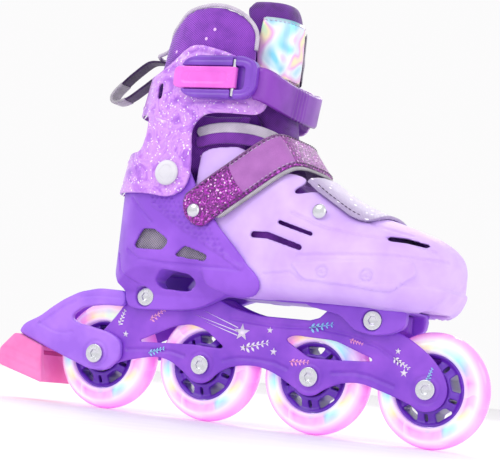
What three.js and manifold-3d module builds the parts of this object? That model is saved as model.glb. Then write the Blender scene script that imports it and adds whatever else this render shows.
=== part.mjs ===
// A child's adjustable inline skate for the right foot, in millimetres.
// +X points to the toe, +Y to the inner (medial) side of the foot and +Z up, from the ground at z = 0.
import * as THREE from 'three';
import { mergeVertices } from 'three/addons/utils/BufferGeometryUtils.js';
import Module from 'manifold-3d';

const wasm = await Module();
wasm.setup();

// Driving dimensions. The layout is drawn from the middle of the wheelbase, and the finished group is
// moved by ORIGIN_SHIFT so that the origin is under the middle of the whole skate.
const ORIGIN_SHIFT = 19;
const WHEEL_RADIUS = 35;
const WHEEL_SPACING = 75;
const TYRE_HALF_WIDTH = 11;
const HUB_RADIUS = 21.5;
const BEARING_RADIUS = 11;
const BEARING_WIDTH = 7;
const BEARING_OUTER_FACE = 11.5;
const AXLE_RADIUS = 4;
const HEAD_RADIUS = 6;
const GAP = 0.3;
const FRAME_INNER = 12.3;
const FRAME_OUTER = 14.5;
const ARM_INNER = 14.8;
const ARM_OUTER = 19;
const LUG_INNER = 14.8;
const LUG_OUTER = 21;
const REAR_MOUNT = [-80, 74.5];
const FRONT_MOUNT = [76.5, 72.5];
const MOUNT_BOLT_RADIUS = 3;
const MOUNT_HEAD_RADIUS = 6;
const MOUNT_HEAD_FACE = 19.6;
const SOLE_TOP = 80.8;
const SOLE_UNDERSIDE = 78.9;
const HEEL_FLOOR = 97.6;
const SHELL_WALL = 2.6;
const ANKLE = [-62, 152];
const LEAN = 0.19;
const STRAP_THICKNESS = 1.6;

const AXLES = [-1.5, -0.5, 0.5, 1.5].map((step) => step * WHEEL_SPACING);

// ---- geometry helpers -------------------------------------------------------------------------

// Joins the shared corners of a closed geometry and gives it to the boolean library, facing out.
function solid(geometry) {
  const bare = geometry.clone();
  bare.deleteAttribute('normal');
  bare.deleteAttribute('uv');
  const merged = mergeVertices(bare, 1e-4);
  const place = merged.attributes.position.array;
  const index = merged.index.array;
  const corners = [];
  for (let i = 0; i < index.length; i += 3) {
    const [a, b, c] = [index[i], index[i + 1], index[i + 2]];
    if (a !== b && b !== c && c !== a) corners.push(a, b, c);
  }
  if (signedVolume(place, corners) < 0) corners.reverse();
  const mesh = new wasm.Mesh({
    numProp: 3,
    vertProperties: Float32Array.from(place),
    triVerts: Uint32Array.from(corners),
  });
  return new wasm.Manifold(mesh);
}

function signedVolume(place, corners) {
  const point = (i) => new THREE.Vector3().fromArray(place, 3 * i);
  let volume = 0;
  for (let i = 0; i < corners.length; i += 3) {
    const [a, b, c] = [point(corners[i]), point(corners[i + 1]), point(corners[i + 2])];
    volume += a.dot(b.cross(c)) / 6;
  }
  return volume;
}

function toGeometry(body) {
  const mesh = body.getMesh();
  const geometry = new THREE.BufferGeometry();
  geometry.setAttribute('position', new THREE.BufferAttribute(mesh.vertProperties, 3));
  geometry.setIndex(new THREE.BufferAttribute(mesh.triVerts, 1));
  geometry.computeVertexNormals();
  return geometry;
}

// The corners of a polygon in anticlockwise order.
function anticlockwise(points) {
  const corners = points.map(([x, y]) => new THREE.Vector2(x, y));
  return THREE.ShapeUtils.isClockWise(corners) ? corners.reverse() : corners;
}

// A polygon whose corners are rounded off over the given distance.
function rounded(points, distance) {
  const shape = new THREE.Shape();
  const corners = anticlockwise(points);
  const corner = (i) => corners[(i + corners.length) % corners.length];
  for (let i = 0; i < corners.length; i += 1) {
    const here = corner(i);
    const toward = (other) => here.clone().lerp(other, Math.min(distance / here.distanceTo(other), 0.5));
    const enter = toward(corner(i - 1));
    const leave = toward(corner(i + 1));
    if (i === 0) shape.moveTo(enter.x, enter.y);
    else shape.lineTo(enter.x, enter.y);
    shape.quadraticCurveTo(here.x, here.y, leave.x, leave.y);
  }
  shape.closePath();
  return shape;
}

function polygon(points) {
  return new THREE.Shape(anticlockwise(points));
}

// The outline of a strip of even thickness along a smooth centre line.
function ribbon(points, thickness, steps) {
  const line = new THREE.SplineCurve(points.map(([x, y]) => new THREE.Vector2(x, y)));
  const left = [];
  const right = [];
  for (let i = 0; i <= steps; i += 1) {
    const here = line.getPointAt(i / steps);
    const along = line.getTangentAt(i / steps);
    const side = new THREE.Vector2(-along.y, along.x).multiplyScalar(thickness / 2);
    left.push(here.clone().add(side));
    right.unshift(here.clone().sub(side));
  }
  return new THREE.Shape([...left, ...right]);
}

// A smooth plan outline, symmetric about a curved centre line, from [x, half width, centre y] stations.
function planOutline(stations, inset, count) {
  const first = stations[0];
  const last = stations[stations.length - 1];
  const points = [[first[0] - 1 + inset, first[2] ?? 0]];
  for (const [x, half, centre = 0] of stations) points.push([x, centre - half + inset]);
  points.push([last[0] + 1 - inset, last[2] ?? 0]);
  for (const [x, half, centre = 0] of [...stations].reverse()) points.push([x, centre + half - inset]);
  const loop = points.map(([x, y]) => new THREE.Vector3(x, y, 0));
  const curve = new THREE.CatmullRomCurve3(loop, true, 'centripetal');
  return new THREE.Shape(curve.getSpacedPoints(count).slice(0, -1).map((p) => new THREE.Vector2(p.x, p.y)));
}

function prism(shape, depth, curveSegments) {
  return new THREE.ExtrudeGeometry(shape, { depth, bevelEnabled: false, curveSegments });
}

// A side-view outline (x, z) carried from y = low to y = high.
function sideways(shape, low, high, curveSegments = 3) {
  const geometry = prism(shape, high - low, curveSegments);
  geometry.rotateX(Math.PI / 2);
  geometry.translate(0, high, 0);
  return solid(geometry);
}

// A plan outline (x, y) carried from z = low to z = high, leaning forward by `lean` for each mm of height.
function upward(shape, low, high, lean = 0, curveSegments = 3) {
  const geometry = prism(shape, high - low, curveSegments);
  geometry.translate(0, 0, low);
  const shear = new THREE.Matrix4().makeShear(0, 0, 0, 0, lean, 0);
  geometry.applyMatrix4(shear);
  geometry.translate(-lean * ANKLE[1], 0, 0);
  return solid(geometry);
}

// A front-view outline (y, z) carried from x = low to x = high.
function lengthways(shape, low, high, curveSegments = 3) {
  const geometry = prism(shape, high - low, curveSegments);
  const turn = new THREE.Matrix4().makeBasis(
    new THREE.Vector3(0, 1, 0), new THREE.Vector3(0, 0, 1), new THREE.Vector3(1, 0, 0));
  geometry.applyMatrix4(turn);
  geometry.translate(low, 0, 0);
  return solid(geometry);
}

function box(x0, x1, y0, y1, z0, z1) {
  const geometry = new THREE.BoxGeometry(x1 - x0, y1 - y0, z1 - z0);
  geometry.translate((x0 + x1) / 2, (y0 + y1) / 2, (z0 + z1) / 2);
  return solid(geometry);
}

// A turned piece whose axis runs along Y; a ring's profile closes on itself.
function turned(profile, segments) {
  return new THREE.LatheGeometry(profile.map(([radius, y]) => new THREE.Vector2(radius, y)), segments);
}

function placedSolid(geometry, x, z) {
  geometry.translate(x, 0, z);
  return solid(geometry);
}

// A round hole across the skate, from y = low to y = high.
function crossHole([x, z], radius, low, high, segments = 16) {
  const geometry = new THREE.CylinderGeometry(radius, radius, high - low, segments);
  geometry.translate(x, (low + high) / 2, z);
  return solid(geometry);
}

// A skin through a row of closed rings, with a flat cap at each end.
function loft(rings) {
  const count = rings[0].length;
  const place = rings.flat(2);
  const index = [];
  for (let ring = 0; ring + 1 < rings.length; ring += 1) {
    for (let i = 0; i < count; i += 1) {
      const a = ring * count + i;
      const b = ring * count + (i + 1) % count;
      index.push(a, b, b + count, a, b + count, a + count);
    }
  }
  const start = place.length / 3;
  for (const ring of [rings[0], rings[rings.length - 1]]) {
    place.push(...[0, 1, 2].map((axis) => ring.reduce((sum, p) => sum + p[axis], 0) / count));
  }
  for (let i = 0; i < count; i += 1) {
    const next = (i + 1) % count;
    index.push(start, next, i);
    const end = (rings.length - 1) * count;
    index.push(start + 1, end + i, end + next);
  }
  const geometry = new THREE.BufferGeometry();
  geometry.setAttribute('position', new THREE.Float32BufferAttribute(place, 3));
  geometry.setIndex(index);
  return solid(geometry);
}

// ---- the foot's master surface ----------------------------------------------------------------

const WIDEST_HEIGHT = 104;
const FOOT_POINTS = 14;

// Toe shell sections: x, half width, centre y, underside z, top z, roundness of the upper half.
const TOE_SECTIONS = [
  [-46, 35.0, 0, 78, 205, 4],
  [-20, 35.4, 0, 78, 190, 3.4],
  [0, 37.0, 0, 78, 178, 3],
  [8, 37.8, 0, 78.5, 177, 3],
  [20, 41.5, 0, 79.2, 166, 2.8],
  [35, 44.0, 0, 79.5, 154, 2.6],
  [50, 45.3, 0.2, 79.5, 145, 2.4],
  [66, 45.3, 0.6, 79.4, 138, 2.3],
  [80, 44, 1.2, 79.2, 134, 2.3],
  [92, 41.5, 1.8, 79, 130.5, 2.3],
  [101, 38, 2.6, 79, 127.6, 2.3],
  [109, 32, 3.6, 79, 124, 2.3],
  [115, 24.5, 4.8, 80.5, 120, 2.3],
  [119, 16.5, 6, 85, 115.5, 2.3],
  [121.5, 7, 7, 94, 109.5, 2.2],
];

// One section of the foot across x, a rounded oblong that is fuller above its widest height.
function footRing([x, half, centre, low, high, roundness], inset) {
  const ring = [];
  for (let i = 0; i < FOOT_POINTS; i += 1) {
    const angle = 2 * Math.PI * (i + 0.5) / FOOT_POINTS;
    const [across, up] = [Math.cos(angle), Math.sin(angle)];
    const power = 2 / (up > 0 ? roundness : 4.5);
    const reach = up > 0 ? high - inset - WIDEST_HEIGHT : WIDEST_HEIGHT - low - inset;
    const y = centre + (half - inset) * Math.sign(across) * Math.abs(across) ** power;
    const z = WIDEST_HEIGHT + reach * Math.sign(up) * Math.abs(up) ** power;
    ring.push([x, y, z]);
  }
  return ring;
}

function footLoft(inset, sections = TOE_SECTIONS) {
  const start = sections[0][0];
  const end = sections[sections.length - 1][0];
  const middle = (start + end) / 2;
  const shorter = (end - start - 2 * inset) / (end - start);
  return loft(sections.map(([x, ...rest]) => footRing([middle + (x - middle) * shorter, ...rest], inset)));
}

// ---- wheels and axles -------------------------------------------------------------------------

function tyre(x) {
  const side = TYRE_HALF_WIDTH;
  const inner = HUB_RADIUS + GAP;
  const profile = [
    [inner, -side], [WHEEL_RADIUS - 6.5, -side + 0.6], [WHEEL_RADIUS - 1.8, -side + 5.2],
    [WHEEL_RADIUS, -2], [WHEEL_RADIUS, 2],
    [WHEEL_RADIUS - 1.8, side - 5.2], [WHEEL_RADIUS - 6.5, side - 0.6], [inner, side],
    [inner, -side],
  ];
  return placedSolid(turned(profile, 28), x, WHEEL_RADIUS);
}

// The hub: a rim and a boss joined by five spokes, with a seat for a bearing in each side.
function hub(x) {
  const seat = BEARING_OUTER_FACE - BEARING_WIDTH;
  const rim = 9.6;
  const bore = BEARING_RADIUS + GAP;
  const profile = [
    [9.2, -seat + GAP], [bore, -seat + GAP], [bore, -10.6], [13.6, -10.6], [18.8, -7.5], [HUB_RADIUS, -rim],
    [HUB_RADIUS, rim], [18.8, 7.5], [13.6, 10.6], [bore, 10.6], [bore, seat - GAP], [9.2, seat - GAP],
    [9.2, -seat + GAP],
  ];
  let body = placedSolid(turned(profile, 18), 0, 0);
  for (let i = 0; i < 5; i += 1) {
    const window = rounded([[-4.6, 14.4], [-6.4, 18.2], [6.4, 18.2], [4.6, 14.4]], 1.2);
    const cutter = prism(window, 40, 1);
    cutter.rotateX(Math.PI / 2);
    cutter.translate(0, 20, 0);
    cutter.rotateY(2 * Math.PI * i / 5);
    body = body.subtract(solid(cutter));
  }
  const geometry = toGeometry(body);
  geometry.translate(x, 0, WHEEL_RADIUS);
  return solid(geometry);
}

function bearing(x, side) {
  const near = side * (BEARING_OUTER_FACE - BEARING_WIDTH);
  const far = side * BEARING_OUTER_FACE;
  const bore = AXLE_RADIUS + 0.2;
  const profile = [[bore, near], [BEARING_RADIUS, near], [BEARING_RADIUS, far], [bore, far], [bore, near]];
  return placedSolid(turned(profile, 16), x, WHEEL_RADIUS);
}

// The magnet core is a spacer that stays with the axle, between the two bearings.
function lightCore(x) {
  const end = BEARING_OUTER_FACE - BEARING_WIDTH - GAP;
  const bore = AXLE_RADIUS + GAP;
  const profile = [
    [bore, -end], [8, -end], [8, end], [bore, end], [bore, -end],
  ];
  return placedSolid(turned(profile, 12), x, WHEEL_RADIUS);
}

// A socket-head bolt across the skate: its head is on the outer side, at y = -face.
function crossBolt([x, z], radius, headRadius, face, headDepth, end) {
  const seat = face - headDepth;
  const profile = [
    [0, end], [radius, end], [radius, -seat], [headRadius, -seat], [headRadius, -face], [0, -face],
  ];
  const body = placedSolid(turned(profile, 14), x, z);
  const socket = new THREE.CylinderGeometry(headRadius * 0.42, headRadius * 0.42, 3, 6);
  socket.translate(x, -face + 0.1, z);
  return body.subtract(solid(socket));
}

// The nut that takes the bolt's end: a round head with a blind bore.
function crossNut([x, z], radius, headRadius, seat, face, boltEnd) {
  const bore = radius + 0.25;
  const profile = [
    [0, boltEnd + GAP], [bore, boltEnd + GAP], [bore, seat],
    [headRadius, seat], [headRadius, face], [0, face],
  ];
  return placedSolid(turned(profile, 14), x, z);
}

function axleBolt(i) {
  const wall = i === 0 ? ARM_OUTER : FRAME_OUTER;
  return crossBolt([AXLES[i], WHEEL_RADIUS], AXLE_RADIUS, HEAD_RADIUS, wall + 2, 1.8, wall + 0.9);
}

function axleNut(i) {
  const wall = i === 0 ? ARM_OUTER : FRAME_OUTER;
  return crossNut([AXLES[i], WHEEL_RADIUS], AXLE_RADIUS, HEAD_RADIUS, wall + 0.2, wall + 2, wall + 0.9);
}

// ---- chassis ----------------------------------------------------------------------------------

// The side plate, from the rear axle lobe along the lower edge to the toe and back along the top.
function plateOutline() {
  const shape = new THREE.Shape();
  const turn = (degrees) => degrees * Math.PI / 180;
  shape.absarc(AXLES[0], WHEEL_RADIUS, 11, turn(120), turn(315), false);
  shape.bezierCurveTo(-96, 32, -88, 34, -75, 36.5);
  shape.bezierCurveTo(-62, 38.5, -56, 34, -46.5, 27);
  shape.absarc(AXLES[1], WHEEL_RADIUS, 11.5, turn(225), turn(315), false);
  shape.bezierCurveTo(-22, 35, -14, 38, 0, 38);
  shape.bezierCurveTo(14, 37, 22, 30, 29.5, 27);
  shape.absarc(AXLES[2], WHEEL_RADIUS, 11.5, turn(225), turn(315), false);
  shape.bezierCurveTo(56, 34, 66, 35.5, 74, 34);
  shape.bezierCurveTo(86, 31, 96, 28, 104.5, 26);
  shape.absarc(AXLES[3], WHEEL_RADIUS, 13, turn(230), turn(385), false);
  shape.bezierCurveTo(121, 50, 108, 61, 90, 68);
  shape.lineTo(90, SOLE_UNDERSIDE - GAP);
  shape.lineTo(47, SOLE_UNDERSIDE - GAP);
  shape.lineTo(40, 71.5);
  shape.lineTo(34, 69.5);
  shape.lineTo(0, 69.5);
  shape.bezierCurveTo(-14, 71, -24, 74, -33, 79.2);
  shape.lineTo(-92, 79.2);
  shape.bezierCurveTo(-96, 70, -104, 58, -113, 49);
  shape.closePath();
  shape.holes.push(rounded([[-86, 45.5], [-60, 57.5], [-48, 60], [-37, 57.5], [-21, 46.5], [-45, 47.5]], 3));
  shape.holes.push(rounded([[18, 56.5], [24, 59.5], [52, 58.5], [81, 48.5], [58, 47.2], [36, 46.5]], 3));
  return shape;
}

// A block between the side plates, whose side-view corners are (x0, z0) and (x1, z1).
function bridge(x0, x1, z0, z1) {
  return box(x0, x1, -FRAME_INNER - 0.5, FRAME_INNER + 0.5, z0, z1);
}

function chassis() {
  let body = sideways(plateOutline(), FRAME_INNER, FRAME_OUTER, 3)
    .add(sideways(plateOutline(), -FRAME_OUTER, -FRAME_INNER, 3))
    .add(bridge(-91, -62, 70.5, 79.2))
    .add(bridge(-4, 4, 60, 68))
    .add(bridge(60, 88, 68.5, SOLE_UNDERSIDE - GAP));
  for (const x of AXLES) {
    body = body.subtract(crossHole([x, WHEEL_RADIUS], AXLE_RADIUS + GAP, -16, 16, 12));
  }
  for (const place of [REAR_MOUNT, FRONT_MOUNT]) {
    body = body.subtract(crossHole(place, MOUNT_BOLT_RADIUS + GAP, -16, 16, 12));
  }
  return body;
}

// ---- brake ------------------------------------------------------------------------------------

function armOutline() {
  const outline = rounded([
    [-95, 77.2], [-115, 77.5], [-130, 74], [-141, 68.5], [-150, 62.5], [-158, 56], [-170, 50], [-174, 43.8],
    [-155, 37], [-135, 30.5], [-116, 24.5], [-103, 25], [-94, 34], [-95, 45], [-104, 49.5], [-118, 52],
    [-131, 54], [-134.5, 58], [-126, 64.5], [-110, 67], [-95, 67],
  ], 2);
  return outline;
}

function tailOutline() {
  return polygon([
    [-173.6, 44], [-155, 37.2], [-151.5, 38], [-150, 45], [-146.5, 53], [-141, 61], [-138.5, 67], [-150, 62],
    [-158, 55.6], [-169.6, 49.6],
  ]);
}

function brakeArm() {
  const axle = [AXLES[0], WHEEL_RADIUS];
  return sideways(armOutline(), ARM_INNER, ARM_OUTER, 2)
    .add(sideways(armOutline(), -ARM_OUTER, -ARM_INNER, 2))
    .add(sideways(tailOutline(), -ARM_INNER - 1, ARM_INNER + 1))
    .subtract(crossHole(axle, AXLE_RADIUS + GAP, -22, 22))
    .subtract(padScrewHole(2.4, 30, 60))
    .subtract(padScrewHole(4.3, 47, 70));
}

// An upright hole or shank on the pad screw's axis.
function padScrewHole(radius, low, high) {
  const geometry = new THREE.CylinderGeometry(radius, radius, high - low, 12);
  geometry.rotateX(Math.PI / 2);
  geometry.translate(-161, 0, (low + high) / 2);
  return solid(geometry);
}

function brakePad() {
  const outline = polygon([
    [-174.2, 43.4], [-185.5, 31.5], [-185, 21.3], [-149, 12], [-151.5, 25], [-152.5, 36.1], [-155.2, 36.7],
  ]);
  return sideways(outline, -22, 22).subtract(padScrewHole(2.4, 24, 60));
}

function padScrew() {
  return padScrewHole(2.1, 26, 48).add(padScrewHole(4, 47.6, 49.8));
}

// ---- heel shell -------------------------------------------------------------------------------

const HEEL_PLAN = [
  [-109, 9], [-104, 19.5], [-95, 28.5], [-82, 35], [-62, 38.2], [-30, 38.4], [0, 40.4], [14, 42.4], [30, 45],
];

function heelSide() {
  return polygon([
    [-81, 66.2], [-90, 66.6], [-93.6, 71], [-94.4, 78.2], [-104.5, 87], [-109, 95], [-111, 105],
    [-110.4, 122],
    [-107.5, 134], [-105, 146], [-98, 150], [-84, 160], [-62, 163], [-50, 158], [-40, 140], [-30, 128.5],
    [-25, 122], [-10, 108], [0, 98], [5, 91], [8, 85.2], [-8, 84.4], [-21, 79.5], [-30, 75.2], [-40, 70.3],
    [-51, 68],
  ]);
}

// The shell's front view: the lugs at the bottom flare out to the width of the heel.
function heelFront() {
  const half = [
    [LUG_OUTER, 60], [LUG_OUTER, 76], [29, 84.5], [35.5, 92.5], [38.4, 100], [41.5, 112], [41.5, 170],
  ];
  return polygon([...half, ...half.map(([y, z]) => [-y, z]).reverse()]);
}

// The hollow for the foot: level under the heel, then down to the forefoot.
function heelHollow() {
  const side = polygon([
    [-130, HEEL_FLOOR], [-38, HEEL_FLOOR], [-14, SOLE_TOP + 0.1], [60, SOLE_TOP + 0.1],
    [60, 200], [-130, 200],
  ]);
  return upward(planOutline(HEEL_PLAN, SHELL_WALL, 28), 60, 200).intersect(sideways(side, -60, 60));
}

function frontLugs() {
  const side = rounded([
    [34, SOLE_TOP], [33, 78], [56, 74], [66, 65.5], [78, 63.5], [90, 65.5], [98, 70], [98, SOLE_TOP],
  ], 3);
  const plate = box(-30, 98, -LUG_OUTER, LUG_OUTER, SOLE_UNDERSIDE, SOLE_TOP);
  return plate
    .add(sideways(side, LUG_INNER, LUG_OUTER))
    .add(sideways(side, -LUG_OUTER, -LUG_INNER));
}

function mountHoles([x, z]) {
  return crossHole([x, z], MOUNT_BOLT_RADIUS + GAP, -30, 30, 12)
    .add(crossHole([x, z], MOUNT_HEAD_RADIUS + 0.5, -30, -MOUNT_HEAD_FACE + 1.8))
    .add(crossHole([x, z], MOUNT_HEAD_RADIUS + 0.5, MOUNT_HEAD_FACE - 1.8, 30));
}

function heelShell() {
  const underFloor = polygon([
    [-120, 60], [-120, 91], [-38, 91], [-24, 79.5], [20, SOLE_UNDERSIDE], [20, 60],
  ]);
  const tunnel = rounded([[-69.5, 85], [-62, 92.5], [-42, 90], [-39, 85], [-46, 80], [-66, 80.2]], 3);
  const rearVent = rounded([[-85, 105], [-78, 117], [-69, 117], [-57, 110], [-61, 103.5], [-78, 103.5]], 3);
  const sideVent = rounded([[-53, 100.6], [-46, 107.6], [-29, 102.6], [-30, 98.6]], 2);
  return upward(planOutline(HEEL_PLAN, 0, 28), 60, 170)
    .intersect(sideways(heelSide(), -60, 60))
    .intersect(lengthways(heelFront(), -130, 60))
    .add(frontLugs())
    .subtract(heelHollow())
    .subtract(sideways(underFloor, -LUG_INNER, LUG_INNER))
    .add(box(10, 97.5, -LUG_INNER - 1, LUG_INNER + 1, SOLE_UNDERSIDE, SOLE_TOP))
    .subtract(sideways(tunnel, -60, 60, 2))
    .subtract(sideways(rearVent, -60, 60, 2))
    .subtract(sideways(sideVent, -60, 60, 2))
    .subtract(mountHoles(REAR_MOUNT))
    .subtract(mountHoles(FRONT_MOUNT))
    .subtract(crossHole(ANKLE, 3.4, -60, 60, 12))
    .subtract(crossHole(INSTEP_RIVET, 2.4, -60, 60, 10))
    .subtract(crossHole(BUTTON, BUTTON_RADIUS + 0.4, 30, 60));
}

// ---- toe shell --------------------------------------------------------------------------------

const BUTTON = [-14, 96];
const BUTTON_RADIUS = 5;
const TOE_RIVET = [44, 133.5];

function toeSide() {
  return polygon([
    [-8, 79], [20, 79], [60, 78.8], [106, 78.6], [113, 84], [118, 91], [124, 104], [124, 116], [106, 135],
    [66, 142], [56, 142], [50, 139.5], [42, 147], [35, 147], [25, 143.5], [22.5, 146], [28, 151], [27, 155],
    [20, 157], [0, 157.2], [-5, 162], [-12, 168.4], [-20, 172.5], [-35, 171], [-44, 168], [-46, 130],
    [-46, 99], [-34, 99], [-8, 82],
  ]);
}

function throatPlan() {
  return rounded([[-70, -26], [62, -26], [69, -16], [69, 17], [62, 27], [-70, 27]], 3);
}

function toeShell() {
  const soleSlot = box(-12, 120, -LUG_OUTER - 0.5, LUG_OUTER + 0.5, 70, SOLE_TOP + GAP);
  const floor = SOLE_TOP + GAP + 2.4;
  const room = polygon([[-60, floor], [107.5, floor], [114.5, 93], [120.5, 105], [120.5, 220], [-60, 220]]);
  const hollow = footLoft(2.4).intersect(sideways(room, -60, 60));
  const backOpen = box(-60, -40, -32.4, 32.4, 70, 220);
  const slotLow = rounded([[-2, 119.5], [10, 119.5], [36.5, 112], [36, 109], [10, 115.6], [-2, 115.8]], 1.2);
  const slotHigh = rounded([[16, 127.5], [43, 120], [43, 117.8], [17, 124.8]], 1);
  return footLoft(0)
    .intersect(sideways(toeSide(), -60, 60))
    .subtract(hollow)
    .subtract(backOpen)
    .subtract(soleSlot)
    .subtract(upward(throatPlan(), 120, 220))
    .subtract(sideways(slotLow, -60, 60, 1))
    .subtract(sideways(slotHigh, -60, 60, 1))
    .subtract(crossHole(TOE_RIVET, 2.3, -60, 60, 10));
}

// The flap over the throat follows the toe shell's own section, a little larger.
function toeBridge() {
  const side = rounded([
    [27, 154], [36, 147.2], [62, 132], [72, 129.5], [78, 134], [76, 142], [52, 152], [38, 162],
  ], 3);
  return footLoft(-2.4)
    .subtract(footLoft(-GAP))
    .intersect(sideways(side, -60, 60));
}

// A dome-headed rivet through a side wall; `side` is -1 on the outer side of the foot and +1 on the inner.
function domeRivet([x, z], side, wallFace, shank, radius = 4) {
  const profile = [[0, 0], [radius, 0], [radius * 0.8, 1.1], [radius * 0.4, 1.7], [0, 1.9]];
  const head = turned(profile, 12);
  const stem = new THREE.CylinderGeometry(1.9, 1.9, shank, 10);
  stem.translate(0, -shank / 2 + 0.5, 0);
  const geometry = toGeometry(solid(head).add(solid(stem)));
  if (side < 0) geometry.rotateX(Math.PI);
  geometry.translate(x, side * wallFace, z);
  return solid(geometry);
}

function sizeButton() {
  const profile = [[0, 38.4], [BUTTON_RADIUS, 38.4], [BUTTON_RADIUS, 41.2], [4.2, 42], [0, 42]];
  return placedSolid(turned(profile, 16), ...BUTTON);
}

// ---- liner, tongue and insole -----------------------------------------------------------------

// Liner sections stay inside the shells, also when the toe shell is drawn out to its largest size.
const LINER_SECTIONS = [
  [-106, 10, 0, 84, 200, 4],
  [-98, 22.5, 0, 84, 200, 4],
  [-80, 31.4, 0, 84, 200, 4],
  [-20, 31.6, 0, 82, 178, 3],
  [0, 32, 0, 82, 167, 2.7],
  [20, 33, 0, 82, 162, 2.8],
  [40, 36.4, 0, 82, 146, 2.6],
  [60, 38.8, 0.4, 82, 136.5, 2.3],
  [76, 38, 0.8, 82, 129.6, 2.3],
  [90, 33.8, 1.5, 82.6, 123.4, 2.3],
  [99, 27.6, 2.5, 83.4, 117.4, 2.3],
  [105, 20, 4, 85.5, 112.4, 2.3],
  [108, 12, 6, 91, 107.5, 2.3],
];

// The foot part of the liner before it is parted into its sewn panels.
function linerFoot() {
  const outside = polygon([
    [-107, 98.3], [-38.8, 98.3], [-14.6, 84.2], [112, 84.2], [112, 112], [92, 124], [68, 132], [52, 136.4],
    [38, 141], [22, 150], [4, 162], [-8, 165], [-20.5, 140.5], [-62, 151.2], [-107, 145],
  ]);
  const inside = polygon([
    [-120, 103.4], [-37, 103.4], [-13, 89.4], [100, 89.4], [103, 100], [98, 110], [80, 121], [50, 130],
    [20, 145], [2, 156], [-8, 157], [-22, 130], [-22, 170], [-120, 170],
  ]);
  return footLoft(0, LINER_SECTIONS)
    .intersect(sideways(outside, -60, 60))
    .subtract(footLoft(5.5, LINER_SECTIONS).intersect(sideways(inside, -60, 60)))
    .subtract(crossHole(ANKLE, 6, -60, 60, 12));
}

// The sole lies under the foot, the heel wraps round behind it and the vamp covers its front.
// Each panel stops 0.2 mm from the next, at the seam.
const LINER_PANELS = {
  sole: [[-120, 80], [120, 80], [120, 89.3], [-13, 89.3], [-37, 103.3], [-120, 103.3]],
  heel: [[-120, 103.5], [-36.95, 103.5], [-24.2, 96.06], [-24.2, 200], [-120, 200]],
  vamp: [[-24, 95.94], [-12.95, 89.5], [120, 89.5], [120, 200], [-24, 200]],
};

function linerPanel(name) {
  return linerFoot().intersect(sideways(polygon(LINER_PANELS[name]), -60, 60));
}

// The collar is padded above the quarter panels and thinner where it goes down between them.
const COLLAR_PLAN = [
  [-104, 10], [-98, 22], [-86, 31.5], [-70, 36.4], [-50, 37.6], [-30, 36.4], [-12, 31], [4, 20],
];
const ANKLE_PLAN = [
  [-104, 10], [-98, 20], [-86, 27.2], [-70, 28.8], [-52, 26.6], [-30, 25.8], [-12, 24], [4, 17],
];
const COLLAR_THICKNESS = 6;
const COLLAR_START = 192;

function collarBand(plan, low, high) {
  return upward(planOutline(plan, 0, 24), low, high, LEAN)
    .subtract(upward(planOutline(plan, COLLAR_THICKNESS, 24), low - 5, high + 5, LEAN));
}

function linerCollar() {
  const side = polygon([
    [-62, 152.6], [-20, 153.6], [-18, 182], [-12, 220], [-13, 244], [-22, 254], [-37, 260.5], [-52, 261],
    [-66, 258], [-78, 249], [-92, 235], [-112, 232], [-112, 159.8],
  ]);
  return collarBand(ANKLE_PLAN, 140, COLLAR_START + 1)
    .add(collarBand(COLLAR_PLAN, COLLAR_START, 270))
    .intersect(sideways(side, -60, 60))
    .subtract(crossHole(ANKLE, 6, -60, 60, 12));
}

function tongue() {
  const centre = [[-31, -22.4], [-20, -20.8], [-10, -15.5], [-4.8, -7], [-3.6, 0], [-4.8, 7], [-10, 15.5],
    [-20, 20.8], [-31, 22.4]];
  const side = rounded([[-40, 205], [8, 205], [4, 262], [-4, 271], [-34, 266], [-40, 240]], 4);
  return upward(ribbon(centre, 6, 16), 200, 272).intersect(sideways(side, -40, 40));
}

function insole() {
  const side = polygon([
    [-97, 103.8], [-37.2, 103.8], [-12.8, 89.8], [92, 89.8], [92, 92.8], [-12, 92.8],
    [-36.2, 106.8], [-97, 106.8],
  ]);
  const plan = planOutline([
    [-94, 8], [-86, 16], [-70, 21], [-40, 21.4], [0, 20.6], [30, 22.5], [60, 25.6, 0.5], [80, 21.5, 1.5],
    [90, 10, 3],
  ], 0, 22);
  return sideways(side, -40, 40).intersect(upward(plan, 80, 110));
}

// The finger loop behind the liner is a folded strap, open from side to side.
function pullLoop() {
  const loop = rounded([
    [-95.6, 232.6], [-97, 220.5], [-121, 203.2], [-130, 200.8], [-134, 207], [-125, 218.2], [-105, 232.6],
  ], 3);
  const gap = rounded([
    [-99.6, 228.8], [-100.4, 222.6], [-120, 208.4], [-127, 205.4], [-130, 208.4], [-123, 215], [-105, 228.8],
  ], 1);
  loop.holes.push(gap);
  return sideways(loop, -6, 6);
}

// ---- cuff and its pivots ----------------------------------------------------------------------

const CUFF_PLAN = [[-109, 11], [-103, 24], [-92, 34], [-78, 39.6], [-60, 41.6], [-40, 41.4], [-24, 39.4],
  [-10, 35], [6, 26], [16, 12]];

function cuffSide() {
  return polygon([
    [-116, 139.5], [-116, 165], [-87, 166], [-84, 178], [-84, 190], [-116, 190], [-116, 215], [-82, 217],
    [-70, 223], [-60, 232], [-52, 235], [-44, 233.5], [-30, 230], [-14, 224], [-1, 219], [-1, 198], [-6, 191],
    [-31, 191.5], [-42, 190], [-49, 181], [-47, 165], [-46, 151], [-50, 141], [-61, 136.5], [-74, 138.5],
  ]);
}

function cuff() {
  const slot = rounded([[-79, 200], [-79, 210], [-75, 210], [-75, 200]], 1.5);
  return upward(planOutline(CUFF_PLAN, 0, 30), 120, 245, LEAN)
    .subtract(upward(planOutline(CUFF_PLAN, SHELL_WALL, 30), 110, 255, LEAN))
    .intersect(sideways(cuffSide(), -60, 60))
    .subtract(crossHole(ANKLE, 4.4, -60, 60, 12))
    .subtract(sideways(slot, -60, 60));
}

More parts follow.
